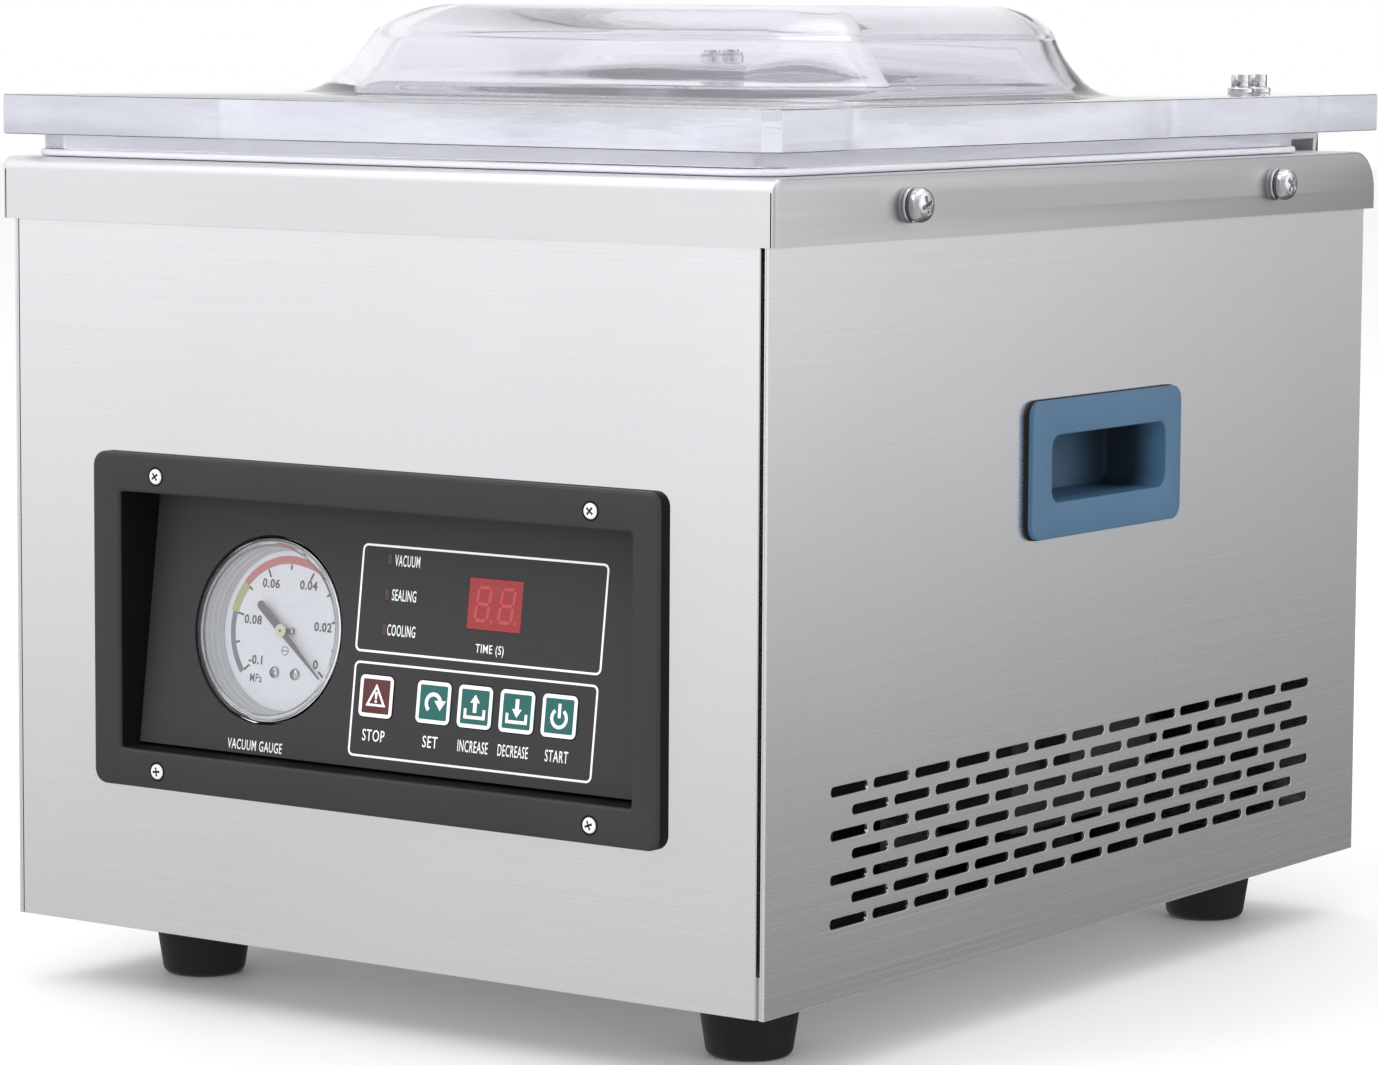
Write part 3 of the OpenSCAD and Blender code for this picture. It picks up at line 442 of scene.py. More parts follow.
def slab(outline, z0, z1, soft=0.0):
    """A flat shape of the given 2D outline between two heights, with its top edge softened."""
    c = Vector((sum(p[0] for p in outline) / len(outline), sum(p[1] for p in outline) / len(outline)))
    rings = [[(x, y, z0) for x, y in outline]]
    if soft:
        rings.append([(x, y, z1 - soft) for x, y in outline])
        inner = [Vector(p) + (c - Vector(p)).normalized() * soft for p in outline]
        rings.append([(p.x, p.y, z1) for p in inner])
    else:
        rings.append([(x, y, z1) for x, y in outline])
    return loft(rings)


def band(outer, inner, z0, z1):
    """The space between two outlines with the same number of points, as a flat closed ring."""
    return loft([[(x, y, z0) for x, y in outer], [(x, y, z1) for x, y in outer],
                 [(x, y, z1) for x, y in inner], [(x, y, z0) for x, y in inner]], wrap=True)


def stroke(points, width, z0, z1):
    """A line of the given width along open 2D points."""
    left, right = [], []
    for i, p in enumerate(points):
        a, b = Vector(points[max(i - 1, 0)]), Vector(points[min(i + 1, len(points) - 1)])
        d = (b - a).normalized() * width / 2
        left.append((p[0] - d.y, p[1] + d.x))
        right.append((p[0] + d.y, p[1] - d.x))
    out = Solid()
    for i in range(len(points) - 1):
        quad = [right[i], right[i + 1], left[i + 1], left[i]]
        out.join(slab(quad, z0, z1))
    return out


def arc(cx, cy, r, a0, a1, n=24):
    return [(cx + r * math.cos(math.radians(a0 + (a1 - a0) * k / n)),
             cy + r * math.sin(math.radians(a0 + (a1 - a0) * k / n))) for k in range(n + 1)]


def words(text, x0, x1, y, cap, z0, z1, weight=0.0):
    """A word in the built-in sans face, fitted between x0 and x1 with capitals of height cap about y."""
    curve = bpy.data.curves.new("word", "FONT")
    curve.body = text
    curve.size = 1.0
    curve.offset = weight
    curve.space_character = 1.1
    curve.resolution_u = 3
    holder = bpy.data.objects.new("word", curve)
    scene.collection.objects.link(holder)
    mesh = holder.to_mesh()
    pts = [v.co.copy() for v in mesh.vertices]
    tris = [tuple(p.vertices) for p in mesh.polygons]
    holder.to_mesh_clear()
    bpy.data.objects.remove(holder)
    bpy.data.curves.remove(curve)
    lo = Vector((min(p.x for p in pts), min(p.y for p in pts)))
    hi = Vector((max(p.x for p in pts), max(p.y for p in pts)))
    fx, fy = (x1 - x0) / (hi.x - lo.x), cap / (hi.y - lo.y)
    flat = [((p.x - lo.x) * fx + x0, (p.y - lo.y) * fy + y - cap / 2) for p in pts]
    n = len(flat)
    verts = [(x, v, z1) for x, v in flat] + [(x, v, z0) for x, v in flat]
    edges = {}
    for t in tris:
        for i in range(len(t)):
            e = (t[i], t[(i + 1) % len(t)])
            key = tuple(sorted(e))
            edges[key] = None if key in edges else e
    sides = [(e[0], e[1], e[1] + n, e[0] + n) for e in edges.values() if e]
    faces = tris + [tuple(i + n for i in reversed(t)) for t in tris] + sides
    return Solid().add(verts, faces)


def finish_cad(name, mat, bevel=0.0, steps=2, angle=30):
    """Gives a CAD node its material, and softens its edges without touching its mesh."""
    ob = nodes[name]
    ob.data.materials.clear()
    ob.data.materials.append(MAT[mat])
    if bevel:
        weld = ob.modifiers.new("weld", "WELD")
        weld.merge_threshold = 1e-6
        mod = ob.modifiers.new("edge", "BEVEL")
        mod.width = bevel
        mod.segments = steps
        mod.limit_method = "ANGLE"
        mod.angle_limit = math.radians(angle)
        mod.harden_normals = True
        mod.use_clamp_overlap = True


# ---------------------------------------------------------------- carried-over CAD nodes

CAD_LOOKS = {
    "case_steel": ("base_plate", "back_panel"),
    "chamber_steel": ("chamber_tub", "suction_strainer"),
    "white_board": ("filler_plate",),
    "aluminium": ("seal_bar", "pressure_bar"),
    "insulator_brown": ("seal_bar_insulator",),
    "ribbon_alloy": ("heating_ribbons",),
    "bright_steel": ("lift_pistons", "foot_screws", "back_panel_screws", "hinge_shaft"),
    "hinge_steel": ("hinge_brackets", "hinge_arms"),
    "cylinder_black": ("lift_cylinders", "power_switch_body", "cable_gland", "lid_switch_body", "gauge_case"),
    "plate_plastic": ("control_overlay",),
    "board_green": ("control_board",),
    "red_window": ("display_window",),
    "lamp_dim": ("indicator_lights",),
    "brass": ("gauge_stem", "vacuum_valve"),
    "red_silicone": ("pressure_pad",),
    "pump_iron": ("pump_body", "transformer_core"),
    "motor_paint": ("motor_housing",),
    "fan_plastic": ("motor_fan", "fan_cowl"),
    "black_rubber": ("pump_mounts", "suction_hose"),
    "copper": ("transformer_coil",),
    "switch_red": ("power_switch_rocker", "lid_switch_plunger"),
    "key_red": ("key_stop",),
    "key_teal": ("key_set", "key_increase", "key_decrease", "key_start"),
}
SOFT_EDGE = {
    "filler_plate": 1.0, "seal_bar": 0.4, "pressure_bar": 0.5, "pressure_pad": 0.8, "hinge_brackets": 0.5,
    "hinge_arms": 0.6, "pump_body": 1.5, "motor_housing": 1.5, "fan_cowl": 1.0, "transformer_core": 0.6,
    "transformer_coil": 1.5, "vacuum_valve": 1.0, "power_switch_body": 0.4, "power_switch_rocker": 0.5,
    "cable_gland": 0.5, "key_stop": 0.12, "key_set": 0.12, "key_increase": 0.12, "key_decrease": 0.12,
    "key_start": 0.12, "control_overlay": 0.1, "display_window": 0.1, "lid_switch_body": 0.3,
}
for mat, names in CAD_LOOKS.items():
    for name in names:
        finish_cad(name, mat, SOFT_EDGE.get(name, 0) * MM)

# ---------------------------------------------------------------- front panel


def make_front_panel():
    left, right, low, high, y0 = -0.1595, 0.1581, 0.025, 0.2948, -0.205
    soft, t = 0.0003, 0.0012

    def edge(inset, y):
        return [(x, y, z) for x, z in box_ring(right - left - 2 * inset, high - low - 2 * inset, 0.0004,
                                               (left + right) / 2, (low + high) / 2, 3)]

    def hole(y):
        return [(x, y, z) for x, z in box_ring(0.2272, 0.0976, 0.0004, 0.0024, 0.1357, 3)]

    shape = loft([hole(y0), edge(soft + 0.0003, y0), edge(soft, y0), edge(0, y0 + soft), edge(0, y0 + t),
                  hole(y0 + t)], wrap=True)
    for x in (left + 0.0006, right - 0.0006):
        ring = box_ring(0.0012, 0.0098, 0.0003, x, y0 + 0.0061, 2)
        shape.join(loft([[(px, py, z) for px, py in ring] for z in (0.041, high)]))
    put("front_panel_sheet", shape.v, shape.f, "case_steel", "case", angle=30, cad=("front_panel",))


def extrude_x(outline, x0, x1):
    return loft([[(x, y, z) for y, z in outline] for x in (x0, x1)])


def vent_places():
    """Middles of the slots: rows of 13 and 12 in turn."""
    for row in range(7):
        count = 13 - row % 2
        for i in range(count):
            yield (i - (count - 1) / 2) * 0.0259, 0.0947 - row * 0.00733


def slot_ring(y, z):
    """Outline of a vent slot: two half circles, the right one first."""
    half, r, arc_steps = 0.0225 / 2 - 0.0017, 0.0017, 10
    pts = []
    for k in range(2 * arc_steps + 2):
        right = k <= arc_steps
        turn = math.pi * (k - (0 if right else 1)) / arc_steps - math.pi / 2
        pts.append((y + (half if right else -half) + r * math.cos(turn), z + r * math.sin(turn)))
    return pts


SCREW_Y, SCREW_Z = 0.127, 0.286
GRIP_Y, POCKET_Y, GRIP_Z = 0.0065, 0.0075, 0.1912


def make_side_panel(side):
    x1 = 0.1615
    x0 = x1 - 0.0012
    outline = [(-0.205, 0.025), (0.205, 0.025), (0.205, 0.284), (0.194, 0.2948), (-0.205, 0.2948)]
    name = "right" if side > 0 else "left"
    flip = Matrix.Scale(side, 4, (1, 0, 0))
    sheet = extrude_x(outline, x0, x1).moved(flip)
    panel = put(name + "_side_sheet", sheet.v, sheet.f, "case_steel", "case", angle=30,
                cad=(name + "_side_panel",))
    cut = Solid()
    for y, z in vent_places():
        cut.join(extrude_x(slot_ring(y, z), x0 - 0.001, x1 + 0.001))
    cut.join(extrude_x(box_ring(0.086, 0.0296, 0.0005, POCKET_Y, GRIP_Z, 2), x0 - 0.001, x1 + 0.001))
    for y in (-SCREW_Y, SCREW_Y):
        cut.join(extrude_x(box_ring(0.0068, 0.0068, 0.00339, y, SCREW_Z, 6), x0 - 0.001, x1 + 0.001))
    cut.moved(flip)
    cutter = put("side_cutter", cut.v, cut.f, "case_steel", "case")
    holes = panel.modifiers.new("holes", "BOOLEAN")
    holes.operation, holes.object, holes.solver = "DIFFERENCE", cutter, "EXACT"
    edge = panel.modifiers.new("edge", "BEVEL")
    edge.width, edge.segments, edge.limit_method = 0.00025, 1, "ANGLE"
    edge.angle_limit = math.radians(60)
    bake(panel)
    bpy.data.objects.remove(cutter)
    smooth_by_angle(panel.data, 30)
    folds = Solid()
    for y, top in ((-0.2044, 0.2948), (0.2044, 0.284)):
        ring = box_ring(0.0006, 0.0012, 0.0001, x0 - 0.0003, y, 1)
        folds.join(loft([[(x, v, z) for x, v in ring] for z in (0.025, top)]))
    folds.moved(flip)
    put(name + "_side_folds", folds.v, folds.f, "case_steel", "case")


# ---------------------------------------------------------------- top cover

CASE_W, CASE_D, COVER_TOP, COVER_LOW = 0.323, 0.410, 0.2966, 0.2746
COVER_X, COVER_Y, SHEET = 0.165, 0.2073, 0.0012
CHAMBER_Y = -0.019


def cover_profile(inset):
    """Front edge, over the top and down the back, pulled in by inset. Points are (y, z)."""
    front, rear = 0.004, 0.015
    pts = [(-COVER_Y + inset, COVER_LOW)]
    pts += [(-COVER_Y + front + (front - inset) * math.cos(a),
             COVER_TOP - front + (front - inset) * math.sin(a))
            for a in (math.radians(180 - 90 * k / 8) for k in range(9))]
    pts += [(COVER_Y - rear + (rear - inset) * math.cos(a), COVER_TOP - rear + (rear - inset) * math.sin(a))
            for a in (math.radians(90 - 90 * k / 16) for k in range(17))]
    pts.append((COVER_Y - inset, COVER_LOW))
    return pts


def make_cover():
    soft, steps = 0.0013, 6
    columns = []
    for k in range(steps + 1):
        a = math.radians(90 * k / steps)
        columns.append((COVER_X - soft + soft * math.cos(a), soft - soft * math.sin(a)))
    columns += [(-x, inset) for x, inset in reversed(columns)]
    rows = [[(x, y, z) for y, z in cover_profile(inset)] for x, inset in columns]
    n = len(rows[0])
    verts = [p for row in rows for p in row]
    faces = [(j * n + i, j * n + i + 1, (j + 1) * n + i + 1, (j + 1) * n + i)
             for j in range(len(rows) - 1) for i in range(n - 1)]
    faces += [tuple(range(n)), tuple(range((len(rows) - 1) * n, len(rows) * n))]
    cover = put("top_cover_sheet", verts, faces, "cover_steel", "case")
    if max(cover.data.polygons, key=lambda p: p.center.z).normal.z < 0:
        cover.data.flip_normals()
    cut = Solid()
    tub = box_ring(0.284, 0.332, 0.027, 0, CHAMBER_Y, 10)
    cut.join(loft([[(x, y, z) for x, y in tub] for z in (COVER_TOP - 0.006, COVER_TOP + 0.004)]))
    for side in (-1, 1):
        seam = box_ring(0.0005, 0.004, 0.0001, side * (COVER_X - SHEET - 0.0004), -COVER_Y, 1)
        cut.join(loft([[(x, y, z) for x, y in seam] for z in (COVER_LOW - 0.004, COVER_TOP - 0.0045)]))
        for y in (-SCREW_Y, SCREW_Y):
            hole = lathe([(0.0034, -0.004), (0.0034, 0.004)], 24)
            at = Matrix.Translation((side * COVER_X, y, SCREW_Z))
            cut.join(hole.moved(at @ Matrix.Rotation(math.pi / 2, 4, "Y")))
    cutter = put("cover_cutter", cut.v, cut.f, "cover_steel", "case")
    solid = cover.modifiers.new("sheet", "SOLIDIFY")
    solid.thickness = SHEET
    solid.offset = -1
    holes = cover.modifiers.new("holes", "BOOLEAN")
    holes.operation, holes.object, holes.solver = "DIFFERENCE", cutter, "EXACT"
    bake(cover)
    smooth_by_angle(cover.data, 25)
    # painted shade: the side-facing lips take the darker copy of the cover steel
    shade_faces(cover, "cover_steel_painted_side_shade", lambda c, n: abs(n.x) > 0.7)
    bpy.data.objects.remove(cutter)
    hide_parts("top_cover")


def bake(ob):
    """Turns a piece's modifiers into mesh."""
    bpy.context.view_layer.update()
    done = bpy.data.meshes.new_from_object(ob.evaluated_get(bpy.context.evaluated_depsgraph_get()))
    ob.modifiers.clear()
    ob.data = done


make_front_panel()
make_side_panel(1)
make_side_panel(-1)
make_cover()

# ---------------------------------------------------------------- lid

FLANGE_LOW, FLANGE_TOP = 0.3045, 0.3185
LID_W, LID_D, CHAMFER = 0.3324, 0.4202, 0.0048
RIM_W, RIM_FRONT, RIM_REAR, RIM_R, RIM_LAND, RIM_H = 0.315, -0.2018, 0.163, 0.014, 0.010, 0.0053
DOME_H, DOME_WALL, DOME_SKIN = 0.0328, 0.0050, 0.0042
DOME_HALF, DOME_FRONT, DOME_REAR, DOME_R0, DOME_R1 = 0.130, -0.118, 0.104, 0.043, 0.016
WALLS = {"side": (52, 0.016, 0.032), "front": (45, 0.018, 0.050), "rear": (62, 0.014, 0.018)}
CORNER = 14


def come_in(wall, h):
    """How far a side of the dome has come in at height h."""
    angle, low, crown = math.radians(wall[0]), wall[1], wall[2]
    foot, head = low * (1 - math.cos(angle)), crown * (1 - math.cos(angle))
    if h < foot:
        return math.sqrt(max(0.0, low ** 2 - (low - h) ** 2))
    straight = lambda z: low * math.sin(angle) + (z - foot) / math.tan(angle)
    if h < DOME_H - head:
        return straight(h)
    full = straight(DOME_H - head) + crown * math.sin(angle)
    return full - math.sqrt(max(0.0, crown ** 2 - (crown - (DOME_H - h)) ** 2))


def hollow(h):
    """The walls are drawn slightly hollow below the fold, which shows as a line round the dome."""
    low, fold = 0.006, 0.0222
    if not low < h < fold:
        return 0.0
    return 0.0011 * math.sin(math.pi * (h - low) / (fold - low)) ** 0.8


def dome_ring(h, pull, z):
    x = DOME_HALF - pull - come_in(WALLS["side"], h) - hollow(h)
    y0 = DOME_FRONT + pull + come_in(WALLS["front"], h) + hollow(h)
    y1 = DOME_REAR - pull - come_in(WALLS["rear"], h) - hollow(h)
    r = DOME_R0 + (DOME_R1 - DOME_R0) * h / DOME_H - pull / 2
    return [(px, py, z) for px, py in box_ring(2 * x, y1 - y0, r, 0, (y0 + y1) / 2, CORNER)]


def flange_ring(inset, z):
    pts = []
    w, d, c = LID_W / 2 - inset, LID_D / 2 - inset, CHAMFER - inset * 0.586
    for sx, sy in ((1, 1), (-1, 1), (-1, -1), (1, -1)):
        a, b = (sx * w, sy * (d - c)), (sx * (w - c), sy * d)
        if sx * sy < 0:
            a, b = b, a
        pts += [(a[0] + (b[0] - a[0]) * k / CORNER, a[1] + (b[1] - a[1]) * k / CORNER, z)
                for k in range(CORNER + 1)]
    return pts


def rim_ring(grow, z):
    return [(x, y, z) for x, y in box_ring(RIM_W + 2 * grow, RIM_REAR - RIM_FRONT + 2 * grow, RIM_R + grow, 0,
                                           (RIM_FRONT + RIM_REAR) / 2, CORNER)]


def make_lid():
    levels = [DOME_H * (1 - math.cos(math.pi * i / 30)) / 2 for i in range(31)]
    levels = sorted(levels + [0.0222])
    soft = 0.0007
    rings = [dome_ring(h, 0, FLANGE_TOP + h) for h in reversed(levels)]
    for k in range(4):
        a = math.radians(90 * k / 3)
        rings.append(flange_ring(soft * (1 - math.sin(a)), FLANGE_TOP - soft * (1 - math.cos(a))))
    for k in range(4):
        a = math.radians(90 * k / 3)
        rings.append(flange_ring(soft * (1 - math.cos(a)), FLANGE_LOW + soft * (1 - math.sin(a))))
    low = FLANGE_LOW - RIM_H
    rings += [rim_ring(0, FLANGE_LOW), rim_ring(0, low + 0.0004), rim_ring(-0.0004, low)]
    rings += [rim_ring(0.0004 - RIM_LAND, low), rim_ring(-RIM_LAND, low + 0.0004),
              rim_ring(-RIM_LAND, FLANGE_LOW)]
    inner = FLANGE_TOP - DOME_SKIN
    rings.append(dome_ring(0, DOME_WALL, FLANGE_LOW))
    rings += [dome_ring(h, DOME_WALL, inner + h) for h in levels]
    shape = loft(rings)
    lid = put("clear_lid", shape.v, shape.f, "clear_acrylic", "lid", angle=30, cad=("lid",))

    def on_outside(c, n):
        upright = abs(n.z) < 0.4 and FLANGE_LOW - RIM_H < c.z < FLANGE_TOP
        return upright and (abs(c.x) > 0.152 or c.y < RIM_FRONT + 0.003 or c.y > RIM_REAR - 0.003)

    shade_faces(lid, "frosted_acrylic", on_outside)


def make_gasket():
    low, high = COVER_TOP + 0.0003, FLANGE_LOW - RIM_H - 0.00002
    mid, lip, width = (low + high) / 2, 0.0015, 0.012
    profile = [(lip - 0.0006, low), (lip - 0.0001, low + 0.0005), (lip, mid), (lip - 0.0001, high - 0.0005),
               (lip - 0.0006, high), (lip - width + 0.0006, high), (lip - width, mid),
               (lip - width + 0.0006, low)]
    shape = loft([rim_ring(grow, z) for grow, z in profile], wrap=True)
    put("lid_gasket_strip", shape.v, shape.f, "white_silicone", "lid", angle=50, cad=("lid_gasket",))


make_lid()
make_gasket()

# ---------------------------------------------------------------- fasteners


def cross_head(r, h, dome, arm, steps=40):
    """Pan head with a cross recess: rings of points, pushed down inside the cross."""
    shape = Solid()
    grid = 26
    pts, index = [], {}
    rings = [0.0] + [r * ((k + 1) / grid) for k in range(grid)]
    for j, q in enumerate(rings):
        for i in range(steps if j else 1):
            a = 2 * math.pi * i / steps
            x, y = q * math.cos(a), q * math.sin(a)
            edge = max(0.0, (q / r - 0.72) / 0.28)
            z = h - dome * (q / r) ** 2 - (h * 0.45) * edge ** 2.6
            inside = min(max(0.0, arm[0] - abs(x)), max(0.0, arm[1] - abs(y)))
            inside = max(inside, min(max(0.0, arm[1] - abs(x)), max(0.0, arm[0] - abs(y))))
            z -= min(inside / (arm[1] * 0.35), 1.0) * h * 0.55
            index[(j, i)] = len(pts)
            pts.append((x, y, z))
    faces = [(0, index[(1, i)], index[(1, (i + 1) % steps)]) for i in range(steps)]
    for j in range(1, grid):
        for i in range(steps):
            k = (i + 1) % steps
            faces.append((index[(j, i)], index[(j + 1, i)], index[(j + 1, k)], index[(j, k)]))
    base = len(pts)
    pts += [(r * math.cos(2 * math.pi * i / steps), r * math.sin(2 * math.pi * i / steps), 0)
            for i in range(steps)]
    for i in range(steps):
        k = (i + 1) % steps
        faces.append((index[(grid, i)], base + i, base + k, index[(grid, k)]))
    faces.append(tuple(base + i for i in range(steps)))
    return shape.add(pts, faces)


def washer(r0, r1, z0, z1, steps=40):
    s = min(0.0003, (z1 - z0) * 0.3)
    return lathe([(r0, z0), (r1 - s, z0), (r1, z0 + s), (r1, z1 - s), (r1 - s, z1), (r0, z1), (r0, z0)], steps)


def hex_ring(reach):
    """A hexagon with its corners at reach, each side in four parts."""
    corners = [Vector((reach * math.cos(math.radians(60 * k)), reach * math.sin(math.radians(60 * k))))
               for k in range(6)]
    return [tuple(corners[k].lerp(corners[(k + 1) % 6], t / 4)) for k in range(6) for t in range(4)]


def nut(across, h, hole):
    bore = [tuple(Vector(q).normalized() * hole) for q in hex_ring(hole)]
    return band(hex_ring(across / math.sqrt(3)), bore, 0, h)


def shank(r, z0, z1, pitch, steps=20):
    """Threaded shank: close ridges of the thread's pitch."""
    prof, z = [(0, z0), (r * 0.8, z0)], z0 + pitch * 0.5
    while z < z1 - pitch * 0.6:
        prof += [(r * 0.86, z), (r, z + pitch * 0.5)]
        z += pitch
    prof += [(r * 0.86, z1), (0, z1)]
    return lathe(prof, steps)


def make_cover_screws():
    bright, dark = Solid(), Solid()
    for side in (-1, 1):
        turn = Matrix.Rotation(side * math.pi / 2, 4, "Y")
        for i, y in enumerate((-SCREW_Y, SCREW_Y)):
            at = Matrix.Translation((side * COVER_X, y, SCREW_Z)) @ turn @ Matrix.Rotation(0.35 + 0.6 * i, 4, "Z")
            one = Solid()
            one.join(washer(0.0031, 0.0060, 0.00005, 0.00125))
            head = cross_head(0.0058, 0.0039, 0.0006, (0.0031, 0.0007))
            one.join(head.moved(Matrix.Translation((0, 0, 0.00285))))
            one.join(shank(0.003, -0.017, 0.0030, 0.001))
            one.join(nut(0.010, 0.005, 0.00305).moved(Matrix.Translation((0, 0, -0.0099))))
            bright.join(one.moved(at))
            dark.join(washer(0.0031, 0.0054, 0.0013, 0.0028).moved(at))
    put("cover_screw_set", bright.v, bright.f, "bright_steel", "case", cad=("cover_screws",))
    put("cover_spring_washers", dark.v, dark.f, "steel_dark", "case")


def make_panel_screws():
    shape, cross = Solid(), Solid()
    for i, (sx, sz) in enumerate(((-1, -1), (1, -1), (-1, 1), (1, 1))):
        at = Matrix.Translation((0.0026 + sx * 0.0934, -0.21005, 0.1352 + sz * 0.0518))
        at = at @ Matrix.Rotation(math.pi / 2, 4, "X") @ Matrix.Rotation(0.1 + 0.25 * i, 4, "Z")
        one = cross_head(0.0028, 0.0017, 0.0002, (0.0016, 0.00036), 32)
        one.join(shank(0.0015, -0.012, 0.0001, 0.0005, 16))
        shape.join(one.moved(at))
        # painted shade: a near-black cross stroke sits in each head's recess
        for tip in ((0.0016, 0), (0, 0.0016)):
            cross.join(stroke([(-tip[0], -tip[1]), tip], 0.0008, 0.0010, 0.0014).moved(at))
    put("panel_screw_set", shape.v, shape.f, "screw_zinc", "case", cad=("panel_screws",))
    put("panel_screw_cross_shade", cross.v, cross.f, "bezel_painted_shade", "case")


def make_lid_bolts():
    shape = Solid()
    for sx in (-1, 1):
        for y in (0.177, 0.191):
            one = Solid()
            one.join(washer(0.00205, 0.005, 0.00002, 0.00202))
            knurl, steps = [], 72
            for z, grow in ((0.00204, 0), (0.0024, 1), (0.0064, 1), (0.00704, 0)):
                ring = []
                for k in range(steps):
                    q, turn = 0.0033 + grow * (0.0002 if k % 2 else 0.0001), math.pi * k / 36
                    ring.append((q * math.cos(turn), q * math.sin(turn), z))
                knurl.append(ring)
            socket = []
            for k in range(steps):
                a = 2 * math.pi * k / steps
                q = 0.0015 / math.cos((a % (math.pi / 3)) - math.pi / 6)
                socket.append((q * math.cos(a), q * math.sin(a)))
            knurl.append([(x, y2, 0.00704) for x, y2 in socket])
            knurl.append([(x, y2, 0.0045) for x, y2 in socket])
            one.join(loft(knurl))
            one.join(shank(0.002, -0.0209, 0.0021, 0.0007, 20))
            one.join(nut(0.007, 0.0024, 0.00205).moved(Matrix.Translation((0, 0, -0.0207))))
            shape.join(one.moved(Matrix.Translation((sx * 0.122, y, FLANGE_TOP))))
    put("lid_bolt_set", shape.v, shape.f, "bright_steel", "lid", angle=28, cad=("lid_bolts",))


make_cover_screws()
make_panel_screws()
make_lid_bolts()

# ---------------------------------------------------------------- control panel


def make_bezel():
    """One moulding: a raised frame with soft edges and a deep square recess."""
    front = -CASE_D / 2 - 0.006
    back = -0.176
    n = 8
    cx, cz = 0.0017, 0.1358
    rx, rz = 0.0024, 0.1357

    def outer(inset, y):
        ring = box_ring(0.2438 - 2 * inset, 0.1176 - 2 * inset, 0.005 - inset * 0.4, cx, cz, n)
        return [(x, y, z) for x, z in ring]

    def inner(grow, y):
        ring = box_ring(0.2202 + 2 * grow, 0.0906 + 2 * grow, 0.0012 + max(grow, 0), rx, rz, n)
        return [(x, y, z) for x, z in ring]

    soft, lip = 0.0015, 0.0012
    rings = [outer(0.0, -CASE_D / 2 - 0.00005), outer(0.0, front + soft)]
    rings += [outer(soft * (1 - math.cos(a)), front + soft * (1 - math.sin(a)))
              for a in (math.radians(90 * k / 6) for k in range(1, 7))]
    rings += [inner(lip * (1 - math.sin(a)), front + lip * (1 - math.cos(a)))
              for a in (math.radians(90 * k / 6) for k in range(0, 7))]
    rings.append(inner(0, back))
    rings.append(inner(0.003, back))
    rings.append(inner(0.003, -CASE_D / 2 - 0.00005))
    shape = loft(rings, wrap=True)
    bezel = put("panel_bezel_moulding", shape.v, shape.f, "bezel_plastic", "case", angle=28,
                cad=("panel_bezel",))

    def in_shade(c, n):
        return abs(n.y) < 0.3 and (c.y > front + lip + 0.001 or c.x - cx > 0.1215)

    # painted shade: the recess walls and the outer right wall take the near-black copy of the bezel plastic
    shade_faces(bezel, "bezel_painted_shade", in_shade)
    # glossy rays don't see the bezel, so the panel beside it shows no mirror image of its wall
    bezel.visible_glossy = False
    # painted shadow: thin near-black rings round the screw heads stand for the counterbores' shadow
    well_shade = Solid()
    for sx in (-1, 1):
        for sz in (-1, 1):
            at = Matrix.Translation((0.0026 + sx * 0.0934, front + 0.00004, 0.1352 + sz * 0.0518))
            well_shade.join(washer(0.0024, 0.0034, 0.0, 0.00012).moved(at @ Matrix.Rotation(math.pi / 2, 4, "X")))
    put("panel_screw_well_shade", well_shade.v, well_shade.f, "bezel_painted_shade", "case")


make_bezel()

TILT = math.radians(7.5)
PLATE = Matrix.Translation((0, -0.201, 0.091)) @ Matrix.Rotation(math.pi / 2 - TILT, 4, "X")
KEY_S = 25.2
KEYS = {"stop": -3.4, "set": 21.3, "increase": 38.9, "decrease": 56.5, "start": 74.1}
PRINT_T = 0.05


def scaled(shape, factor=MM):
    return shape.moved(Matrix.Scale(factor, 4))


def make_plate_print():
    ink = Solid()
    for x0, x1, s0, s1 in ((-14.4, 89.5, 40.0, 77.0), (-14.0, 89.0, 4.2, 36.8)):
        w, h, cx, cy = x1 - x0, s1 - s0, (x0 + x1) / 2, (s0 + s1) / 2
        ink.join(band(box_ring(w, h, 2.2, cx, cy, 6), box_ring(w - 1.5, h - 1.5, 1.5, cx, cy, 6), 0.0, PRINT_T))
    for text, x0, x1, s, cap in (
            ("VACUUM", -0.2, 10.6, 72.0, 3.9), ("SEALING", -0.3, 10.1, 60.2, 3.9),
            ("COOLING", -1.2, 10.9, 48.2, 3.9),
            ("TIME (S)", 37.0, 48.8, 44.5, 3.9), ("STOP", -8.3, 1.3, 11.8, 4.0), ("SET", 17.7, 24.1, 11.8, 4.0),
            ("INCREASE", 32.7, 45.4, 11.8, 4.0), ("DECREASE", 49.6, 62.2, 11.8, 4.0),
            ("START", 69.3, 78.8, 11.8, 4.0),
            ("VACUUM GAUGE", -67.4, -43.0, 3.6, 3.6)):
        ink.join(words(text, x0, x1, s, cap, 0.0, PRINT_T, 0.005))
    scaled(ink)
    put("plate_printing", ink.v, ink.f, "print_white", "case", PLATE)


